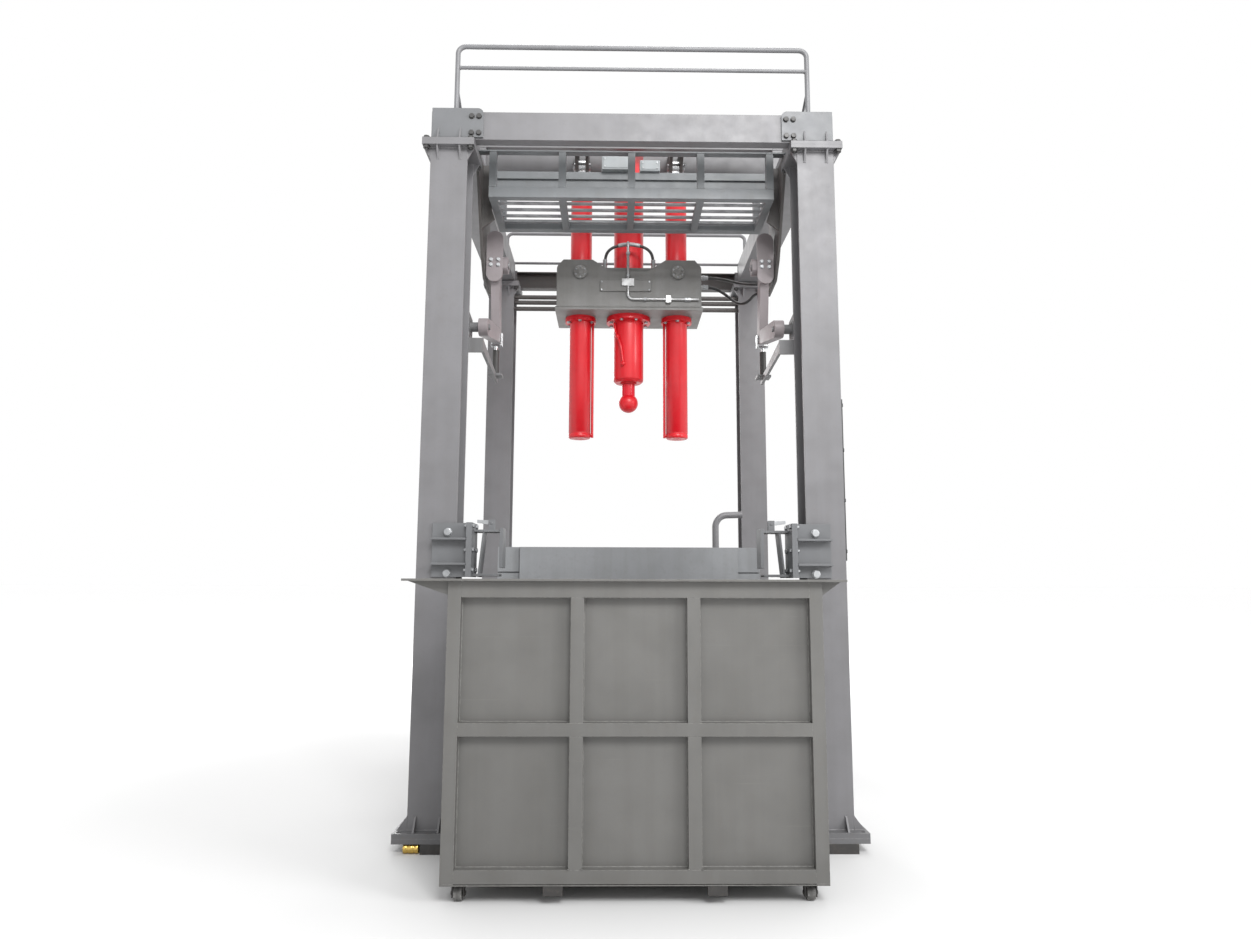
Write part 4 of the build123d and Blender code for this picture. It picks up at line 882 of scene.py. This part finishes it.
# ---------------------------------------------------------------------------
# Cylinders. Honed tubes with a welded end cap, a turned weld ring and a bolted flange
# under the crosshead, all sprayed gloss red in one coat with the glands and the ball.
gloss_red = enamel("gloss_red_enamel", (0.60, 0.004, 0.012), gloss=0.36, edge_strength=0.1, grime=0.1, runs=0.12,
                   coat=0.12,
                   edge_colour=(0.25, 0.04, 0.04))
finish_nodes(gloss_red, "barrel_pipes", "cylinder_glands", "cylinder_flanges", "ball_end")
barrel_low, barrel_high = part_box("side_barrels")
barrel_radius = (barrel_high.y - barrel_low.y) / 2
barrel_y = (barrel_high.y + barrel_low.y) / 2
barrel_x = barrel_high.x - barrel_radius
barrel_length = barrel_high.z - barrel_low.z
barrel_outline = [(0, 0), (0, 0.030), (0.003, 0.034), (0, 0.038), (0, barrel_radius - 0.008),
                  (0.008, barrel_radius),
                  (0.034, barrel_radius), (0.037, barrel_radius - 0.005), (0.040, barrel_radius - 0.0015),
                  (0.044, barrel_radius - 0.005), (0.047, barrel_radius),
                  (barrel_length - 0.004, barrel_radius),
                  (barrel_length, barrel_radius - 0.004), (barrel_length, 0.050), (barrel_length, 0)]
side_barrels = merged("side_barrels_turned", [
    lathe("barrel", barrel_outline, (side * barrel_x, barrel_y, barrel_low.z),
          (side * barrel_x, barrel_y, barrel_high.z), 56)
    for side in (-1, 1)])
side_barrels.data.materials.append(gloss_red)
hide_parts("side_barrels")
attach(side_barrels, "crosshead")
main_low, main_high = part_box("main_barrel")
main_radius = (main_high.x - main_low.x) / 2
main_length = main_high.z - main_low.z
main_outline = [(0, 0), (0, main_radius - 0.006), (0.003, main_radius - 0.002), (0.010, main_radius),
                (main_length - 0.062, main_radius), (main_length - 0.058, main_radius - 0.005),
                (main_length - 0.052, main_radius - 0.001), (main_length - 0.046, main_radius - 0.005),
                (main_length - 0.042, main_radius), (main_length - 0.010, main_radius),
                (main_length, main_radius - 0.010), (main_length, 0.040), (main_length, 0)]
main_barrel = lathe("main_barrel_turned", main_outline, (0, barrel_y, main_low.z),
                    (0, barrel_y, main_high.z), 64)
main_barrel.data.materials.append(gloss_red)
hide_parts("main_barrel")
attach(main_barrel, "crosshead")


def on_barrel(degrees, z, clear):
    """A point beside the main barrel, at an angle from straight ahead and a clearance from its skin."""
    angle = math.radians(degrees)
    reach = main_radius + clear
    return reach * math.sin(angle), barrel_y - reach * math.cos(angle), z


feed = drawn_pipe("feed", [on_barrel(-58, 3.780, 0.016), on_barrel(-56, 3.730, 0.012),
                           on_barrel(-50, 3.690, 0.012),
                           on_barrel(-40, 3.640, 0.013), on_barrel(-30, 3.590, 0.014),
                           on_barrel(-25, 3.530, 0.014),
                           on_barrel(-22, 3.470, 0.014), on_barrel(-20, 3.430, 0.014)], 0.009, gloss_red)
boss = lathe("feed_boss", [(0, 0), (0, 0.012), (0.003, 0.016), (0.034, 0.018), (0.050, 0.018), (0.050, 0)],
             on_barrel(-20, 3.420, 0.026), on_barrel(-20, 3.420, -0.020), 28)
boss.data.materials.append(gloss_red)
union = lathe("feed_union",
              [(0, 0), (0, 0.012), (0.003, 0.015), (0.026, 0.015), (0.029, 0.012), (0.029, 0)],
              on_barrel(-46, 3.672, 0.013), on_barrel(-41, 3.645, 0.013), 24)
union.data.materials.append(gloss_red)
feed_piece = merged("main_feed_pipe", [feed, boss, union])
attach(feed_piece, "crosshead")

flange_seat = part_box("cylinder_flanges")[0].z
flange_places = []
for x, radius, wide, count in ((-barrel_x, barrel_radius, 0.038, 6), (0, main_radius, 0.060, 8),
                               (barrel_x, barrel_radius, 0.038, 6)):
    for turn in range(count):
        angle = 2 * math.pi * (turn + 0.5) / count
        reach = radius + wide / 2 + 0.002
        flange_places.append(((x + reach * math.cos(angle), barrel_y + reach * math.sin(angle),
                               flange_seat), (0, 0, 1)))
flange_bolts = bolted("flange_bolts_forged", flange_places, 0.008, 0, zinc)
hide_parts("flange_bolts")
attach(flange_bolts, "crosshead")

# ---------------------------------------------------------------------------
# Main rod. Ground and hard-chromed, except for its neck over the ball, which was
# sprayed red with the barrel.


def rod_with_red_neck():
    """Hard chrome with fine grinding marks, and red enamel up to an uneven line above the ball."""
    finish, tree, shader, place = opened("chromed_rod_red_neck")
    split = tree.nodes.new("ShaderNodeSeparateXYZ")
    tree.links.new(place, split.inputs["Vector"])
    neck_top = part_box("cylinder_glands")[0].z + 0.030
    waver = reckoned(tree, "MULTIPLY_ADD", speckle(tree, place, 30, 3), 0.006, neck_top - 0.003)
    chromed = reckoned(tree, "GREATER_THAN", split.outputs["Z"], waver)
    marks = speckle(tree, drawn_out(tree, place, (6, 6, 500)), 1.0, 3)
    red = layered(tree, speckle(tree, place, 8, 4), (0.48, 0.005, 0.015), (0.60, 0.008, 0.022))
    tree.links.new(layered(tree, chromed, red, (0.78, 0.79, 0.80)), shader.inputs["Base Color"])
    tree.links.new(chromed, shader.inputs["Metallic"])
    rough = reckoned(tree, "MULTIPLY_ADD", marks, 0.1, 0.12)
    tree.links.new(rough, shader.inputs["Roughness"])
    tree.links.new(dimpled(tree, marks, None, 0.08, 0.0003), shader.inputs["Normal"])
    return finish


finish_nodes(rod_with_red_neck(), "main_rod")

# ---------------------------------------------------------------------------
# Hydraulic hoses. Two black rubber hoses feed the crosshead from ports on the right
# hanger plate, and a short one bridges its top. Each end has a crimped steel ferrule.
hose_rubber, hose_tree, hose_shader, hose_place = opened("hose_rubber")
dusty = graded(hose_tree, speckle(hose_tree, hose_place, 18, 7, 0.7),
               [(0.45, (0.012, 0.012, 0.013)), (0.75, (0.05, 0.047, 0.043))])
hose_tree.links.new(dusty, hose_shader.inputs["Base Color"])
hose_tree.links.new(reckoned(hose_tree, "MULTIPLY_ADD", speckle(hose_tree, hose_place, 30, 5), 0.3, 0.3),
                    hose_shader.inputs["Roughness"])
wrap = hose_tree.nodes.new("ShaderNodeUVMap")
wrap.uv_map = "along_hose"
wrap_wave = hose_tree.nodes.new("ShaderNodeTexWave")
wrap_wave.inputs["Scale"].default_value = 60
wrap_wave.inputs["Distortion"].default_value = 0.4
hose_tree.links.new(wrap.outputs["UV"], wrap_wave.inputs["Vector"])
hose_tree.links.new(dimpled(hose_tree, wrap_wave.outputs["Fac"], None, 0.25, 0.0006),
                    hose_shader.inputs["Normal"])


def hose_piece(name, route, diameter, steps=20):
    """A hose with its wrapped cover, and the points of its centreline."""
    points = [vertex.co.copy() for vertex in swept("centreline", route, 3, 14).vertices]
    shape = bmesh.new()
    sheet = shape.loops.layers.uv.new("along_hose")
    heading = (points[1] - points[0]).normalized()
    side = heading.orthogonal().normalized()
    rings, walked = [], [0.0]
    for number, point in enumerate(points):
        after = points[min(number + 1, len(points) - 1)] - points[max(number - 1, 0)]
        turned = after.normalized()
        side = (heading.rotation_difference(turned) @ side).normalized()
        heading = turned
        across = heading.cross(side)
        rings.append([shape.verts.new(point + diameter / 2 * (side * math.cos(2 * math.pi * step / steps)
                                                              + across * math.sin(2 * math.pi * step / steps)))
                      for step in range(steps)])
        if number:
            walked.append(walked[-1] + (point - points[number - 1]).length)
    for number, (ring, following) in enumerate(zip(rings, rings[1:])):
        for step in range(steps):
            after = (step + 1) % steps
            face = shape.faces.new((ring[step], ring[after], following[after], following[step]))
            face.smooth = True
            marks = ((step, number), (step + 1, number), (step + 1, number + 1), (step, number + 1))
            for loop, (turn, stage) in zip(face.loops, marks):
                loop[sheet].uv = (walked[stage] + turn / steps * 0.01, turn / steps)
    shape.faces.new(rings[0][::-1])
    shape.faces.new(rings[-1])
    bmesh.ops.recalc_face_normals(shape, faces=shape.faces)
    mesh = meshed(name, shape)
    mesh.materials.append(hose_rubber)
    piece = linked(name, mesh)
    return piece, points


def ferrule(name, port, direction):
    """A crimped sleeve over a hose's end with a hexagon nut at the port."""
    out = Vector(direction).normalized()
    start = Vector(port)
    outline = [(0.014, 0), (0.014, 0.0175), (0.018, 0.0185)]
    for crimp in range(3):
        along = 0.020 + crimp * 0.007
        outline += [(along, 0.0185), (along + 0.002, 0.0165), (along + 0.005, 0.0165),
                    (along + 0.007, 0.0185)]
    outline += [(0.044, 0.0180), (0.046, 0.0135), (0.046, 0)]
    sleeve = lathe(name, outline, start, start + out, 28)
    shape = bmesh.new()
    spin = Matrix.Translation(start) @ Vector((0, 0, 1)).rotation_difference(out).to_matrix().to_4x4()
    hexagon(shape, 0.038, 0.016, spin)
    bmesh.ops.recalc_face_normals(shape, faces=shape.faces)
    mesh = meshed(name + "_nut", shape)
    nut = linked(name + "_nut", mesh)
    sleeve.data.materials.append(zinc)
    mesh.materials.append(zinc)
    return merged(name, [sleeve, nut])


hose_diameter = 0.024
bridge_route = [(-0.200, -0.210, 4.233), (-0.200, -0.210, 4.313), (-0.155, -0.210, 4.378),
                (-0.070, -0.210, 4.408),
                (0, -0.210, 4.416), (0.070, -0.210, 4.408), (0.155, -0.210, 4.378), (0.200, -0.210, 4.313),
                (0.200, -0.210, 4.233)]
upper_route = [(0.615, -0.150, 4.150), (0.6987, -0.150, 4.150), (0.7917, -0.18575, 4.1245),
               (0.88005, -0.249, 4.075),
               (0.94515, -0.35075, 4.0255), (1.01025, -0.425, 4.000), (1.080, -0.425, 4.000)]
lower_route = [(0.615, -0.150, 4.070), (0.6987, -0.150, 4.070), (0.78705, -0.18025, 4.0098),
               (0.85215, -0.24075, 3.9244), (0.89865, -0.3205, 3.8656), (0.95445, -0.40025, 3.860),
               (1.01025, -0.425, 3.930), (1.080, -0.425, 3.930)]
for name, route, crossing in (("bridge_hose", bridge_route, False),
                              ("supply_hose_upper", upper_route, True),
                              ("supply_hose_lower", lower_route, True)):
    placed = [(x, barrel_y + y, z) for x, y, z in route]
    hose, line = hose_piece(name + "_rubber", placed, hose_diameter)
    reach = sum((after - before).length for before, after in zip(line, line[1:]))
    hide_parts(name)
    if crossing:
        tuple(placed[0])
        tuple(placed[-1])
        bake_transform(hose)
    else:
        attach(hose, "crosshead")
        middle_run = [tuple(point) for point in line if abs(point.x) < 0.095]
        sleeve = drawn_pipe("bridge_tee_sleeve", middle_run, 0.0165, zinc)
        behind = placed[0][1]
        riser = drawn_pipe("bridge_tee_riser",
                           [(-0.010, behind - 0.064, 4.320), (-0.010, behind - 0.064, 4.400),
                            (-0.010, behind - 0.040, 4.416), (-0.010, behind, 4.416)],
                           0.011, zinc)
        tee = merged("bridge_tee", [sleeve, riser])
        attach(tee, "crosshead")
    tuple(placed[0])
    [tuple(point) for point in line]
    for end, (port, beyond) in enumerate(((placed[0], placed[1]), (placed[-1], placed[-2]))):
        sleeve = ferrule(f"{name}_ferrule_{end + 1}", port, Vector(beyond) - Vector(port))
        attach(sleeve, "frame" if crossing and end else "crosshead")
finish_nodes(turned_metal("cast_brass_ports", (0.60, 0.45, 0.16), 0.3, 0.6, (90, 90, 90)), "hose_ports")

# ---------------------------------------------------------------------------
# Front oil pipe. A bent steel pipe in saddle clamps across the crosshead's face, with
# hexagon couplings before its bend and near its end.
pipe_steel = turned_metal("drawn_pipe_steel", (0.45, 0.45, 0.45), 0.3, 0.5, (4, 120, 120))
finish_nodes(pipe_steel, "front_oil_pipe")
pipe_y, pipe_z = face_y - 0.014, 3.861 + 0.060
shape = bmesh.new()
for start, direction in (((0.455, pipe_y, pipe_z), (1, 0, 0)), ((0.480, pipe_y, pipe_z), (1, 0, 0)),
                         ((0.120, pipe_y, pipe_z), (1, 0, 0)), ((-0.010, pipe_y, 4.110), (0, 0, 1)),
                         ((-0.010, pipe_y, 4.300), (0, 0, 1))):
    spin = Vector((0, 0, 1)).rotation_difference(Vector(direction)).to_matrix().to_4x4()
    hexagon(shape, 0.030, 0.022, Matrix.Translation(start) @ spin)
bmesh.ops.recalc_face_normals(shape, faces=shape.faces)
coupling_mesh = meshed("pipe_couplings", shape)
couplings = linked("pipe_couplings", coupling_mesh)
coupling_mesh.materials.append(zinc)
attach(couplings, "crosshead")

# ---------------------------------------------------------------------------
# Hanger plates and arm brackets. Thick flame-cut plates hang from the side beams, in a
# dark enamel that is painted shade; lugs and struts on the front columns carry the arms and their actuators.
# Painted shade: the hanger plates take the dark enamel in place of the shade they lie in.
finish_nodes(dark_primer_and_shade_enamel, "hanger_plates")
finish_nodes(enamel("strut_enamel", (0.13, 0.13, 0.134), gloss=0.45, grime=0.5), "arm_brackets")
finish_nodes(black_primer, "actuator_barrels")

# ---------------------------------------------------------------------------
# Catch arms. Cast elbow arms in pale mauve primer, each with a hub, a tongue plate on
# the hub's flat, and pins held by washers and split pins.
arm_primer = enamel("mauve_primer", (0.215, 0.190, 0.197), gloss=0.5, grime=0.4, runs=0.1)
finish_nodes(arm_primer, "catch_arm_left", "catch_arm_right")
finish_nodes(hard_chrome, "actuator_rod_left", "actuator_rod_right")
for side, name in ((-1, "left"), (1, "right")):
    hub_x = side * 0.932
    hub_y, hub_z = front_face + 0.850, 4.050
    tongue_y = front_face + 0.774
    tongue_x = side * 1.0375
    outline = [(0, 0), (0, 0.010), (0.003, 0.014), (0.003, 0.026), (0.006, 0.028), (0.010, 0.028),
               (0.010, 0)]
    cap = lathe("hub_cap", outline, (hub_x - side * 0.004, hub_y, hub_z),
                (hub_x + side * 0.006, hub_y, hub_z), 32)
    cap.data.materials.append(zinc)
    tongue_places = [((tongue_x + dx, tongue_y, hub_z + dz), (0, 1, 0)) for dz in (-0.020, 0.022)
                     for dx in (-0.028, 0.028)]
    bolts = bolted("tongue_bolts", tongue_places, 0.008, 0, zinc)
    fittings = merged(f"arm_fittings_{name}", [cap, bolts])
    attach(fittings, f"arm_{name}")

# ---------------------------------------------------------------------------
# Column brackets and guide brackets. Welded plates bolted to the front columns, with
# ribs, and guide plates bolted to them that reach in over the container's rim.
finish_nodes(pale_enamel, "column_brackets", "guide_brackets")
bracket_seams = []
rib_zs = (bracket_low.z + 0.076, bracket_low.z + 0.088, bracket_low.z + 0.234, bracket_low.z + 0.246)
plate_in, plate_out, face = inner_x - 0.075, 1.275, front_face - bracket_wall
for side in (-1, 1):
    for z in rib_zs:
        bracket_seams.append([(side * plate_in, face, z), (side * plate_out, face, z)])
        bracket_seams.append([(side * plate_in, face, z), (side * plate_in, face - 0.060, z)])
    bracket_seams.append([(side * plate_in, face, bracket_low.z), (side * plate_in, face, bracket_high.z)])
    bracket_seams.append([(side * inner_x, front_face, bracket_low.z),
                          (side * inner_x, front_face, bracket_high.z)])
    guide_x = side * (joint_x - bracket_wall)
    for z in (bracket_low.z + 0.010, bracket_high.z - 0.052):
        for y in (front_face + 0.020, front_face + 0.150):
            bracket_seams.append([(side * 0.850, y, z), (guide_x, y, z)])
welded("bracket_welds", bracket_seams, "frame", 0.0045, pale_enamel, 0.009)

# ---------------------------------------------------------------------------
# Latch levers. Short zinc-plated levers turn on pins over the guide brackets.
finish_nodes(zinc, "latch_lever_left", "latch_lever_right")

# ---------------------------------------------------------------------------
# Container. Folded sheet panels behind a welded grid of flat bars, in a warm grey
# enamel with rain runs, scuffs and slightly buckled panels.


def container_finish():
    """The machine's enamel in warm grey, with wide shallow buckles and long scuffs."""
    finish = enamel("warm_grey_enamel", (0.113, 0.111, 0.106), gloss=0.45, edge_strength=0.5, grime=0.45, runs=0.14,
                    edge=0.004)
    tree = finish.node_tree
    shader = tree.nodes["Principled BSDF"]
    place = tree.nodes.new("ShaderNodeTexCoord").outputs["Object"]
    buckles = speckle(tree, drawn_out(tree, place, (2.2, 2.2, 1.8)), 1.0, 1)
    fine = shader.inputs["Normal"].links[0].from_socket
    tree.links.new(dimpled(tree, buckles, fine, 0.35, 0.012), shader.inputs["Normal"])
    scuffs = graded(tree, speckle(tree, drawn_out(tree, place, (1.4, 6, 60)), 1.0, 7, 0.75),
                    [(0.62, (0, 0, 0)), (0.7, (1, 1, 1))])
    base = shader.inputs["Base Color"].links[0].from_socket
    tree.links.new(layered(tree, reckoned(tree, "MULTIPLY", scuffs, 0.18), base, (0.20, 0.195, 0.185)),
                   shader.inputs["Base Color"])
    return finish


warm_enamel = container_finish()
finish_nodes(warm_enamel, "container_shell", "container_rails", "container_ribs", "container_lip")
finish_nodes(enamel("beam_grey_enamel", (0.235, 0.242, 0.252), edge_strength=0.3, grime=0.4, runs=0.15),
             "container_rear_beam")
shell_low, shell_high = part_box("container_shell")
rails_low, rails_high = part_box("container_rails")
half, box_y0, box_y1 = rails_high.x, rails_low.y, rails_high.y
rail_rows = ((0.174, 0.832), (0.900, 1.546))
rib_half, rib_x = 0.035, half * 2 * 0.155
front_bays = ((-half + 0.070, -rib_x - rib_half), (-rib_x + rib_half, rib_x - rib_half),
              (rib_x + rib_half, half - 0.070))
long_side = box_y1 - box_y0
rib_ys = [box_y0 + long_side * share for share in (0.25, 0.5, 0.75)]
side_bays = list(zip([box_y0 + 0.070] + [y + rib_half for y in rib_ys],
                     [y - rib_half for y in rib_ys] + [box_y1 - 0.070]))
panel_seams = []
for z0, z1 in rail_rows:
    for y in (shell_low.y, shell_high.y):
        for x0, x1 in front_bays:
            panel_seams.append([(x0, y, z0), (x1, y, z0), (x1, y, z1), (x0, y, z1), (x0, y, z0)])
    for x in (shell_low.x, shell_high.x):
        for y0, y1 in side_bays:
            panel_seams.append([(x, y0, z0), (x, y1, z0), (x, y1, z1), (x, y0, z1), (x, y0, z0)])
for y in (box_y0, box_y1):
    for x in (-rib_x - rib_half, -rib_x + rib_half, rib_x - rib_half, rib_x + rib_half):
        panel_seams.append([(x, y, 0.174), (x, y, 0.180)])
welded("container_welds", panel_seams, "container", 0.005, warm_enamel, 0.016)
lip_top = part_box("container_lip")[1].z
beam_seams = [around(-half + 0.170, half - 0.170, box_y1 - 0.060, box_y1, lip_top)]
for side in (-1, 1):
    beam_seams.append([(side * (half - 0.170), box_y1 - 0.025, lip_top),
                       (side * (half - 0.170), box_y1 - 0.025, lip_top + 0.248)])
    beam_seams.append([(side * (half - 0.170), box_y1 - 0.025, lip_top),
                       (side * half, box_y1 - 0.025, lip_top)])
welded("rear_beam_welds", beam_seams, "container", 0.005, warm_enamel)
finish_nodes(grey_enamel, "hook_tube")

# ---------------------------------------------------------------------------
# Cable duct. A thin folded duct clipped along the right front column's outer edge.
column_low, column_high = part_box("column_front_right")
duct_x, duct_y, duct_low, duct_high = column_high.x, column_low.y + 0.026, 1.770, 2.830
duct = flame_cut("cable_duct", rounded_box_outline(0.026, duct_high - duct_low, 0.003), 0.011,
                 laid(duct_x, duct_y, (duct_low + duct_high) / 2, (0, 1, 0), (1, 0, 0)), 0.001)
clips = [flame_cut("duct_clip", rounded_box_outline(0.034, 0.022, 0.003), 0.0135,
                   laid(duct_x, duct_y, z, (0, 1, 0), (1, 0, 0)), 0.001)
         for z in (1.830, 2.160, 2.490, 2.790)]
ducting = merged("cable_duct_clipped", [duct] + clips)
ducting.data.materials.append(black_rubber)
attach(ducting, "frame")

# ---------------------------------------------------------------------------
# Casters. Fixed forks with turned cast-iron rollers on plain axles, under the corners.
finish_nodes(black_primer, "caster_forks")
cast_iron = enamel("cast_iron", (0.10, 0.098, 0.095), gloss=0.5, edge_strength=0.9, grime=0.8, runs=0.0, edge=0.002,
                   edge_colour=(0.45, 0.44, 0.43))
for node, body in (("front_wheels", "front_wheelset"), ("rear_wheels", "rear_wheelset")):
    low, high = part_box(node)
    wheel_radius = (high.z - low.z) / 2
    y, z = (low.y + high.y) / 2, (low.z + high.z) / 2
    wheels = []
    for side in (-1, 1):
        start, end = side * (high.x - 0.044), side * high.x
        outline = [(0, 0), (0, 0.014), (0, 0.017), (0.004, 0.019), (0.006, 0.026), (0.002, 0.031),
                   (0, wheel_radius - 0.003),
                   (0.003, wheel_radius), (0.041, wheel_radius), (0.044, wheel_radius - 0.003),
                   (0.042, 0.031),
                   (0.038, 0.026), (0.040, 0.019), (0.044, 0.017), (0.044, 0.014), (0.044, 0)]
        wheels.append(lathe("wheel", outline, (start, y, z), (end, y, z), 40))
    wheelset = merged(node + "_turned", wheels)
    wheelset.data.materials.append(cast_iron)
    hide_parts(node)
    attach(wheelset, body)
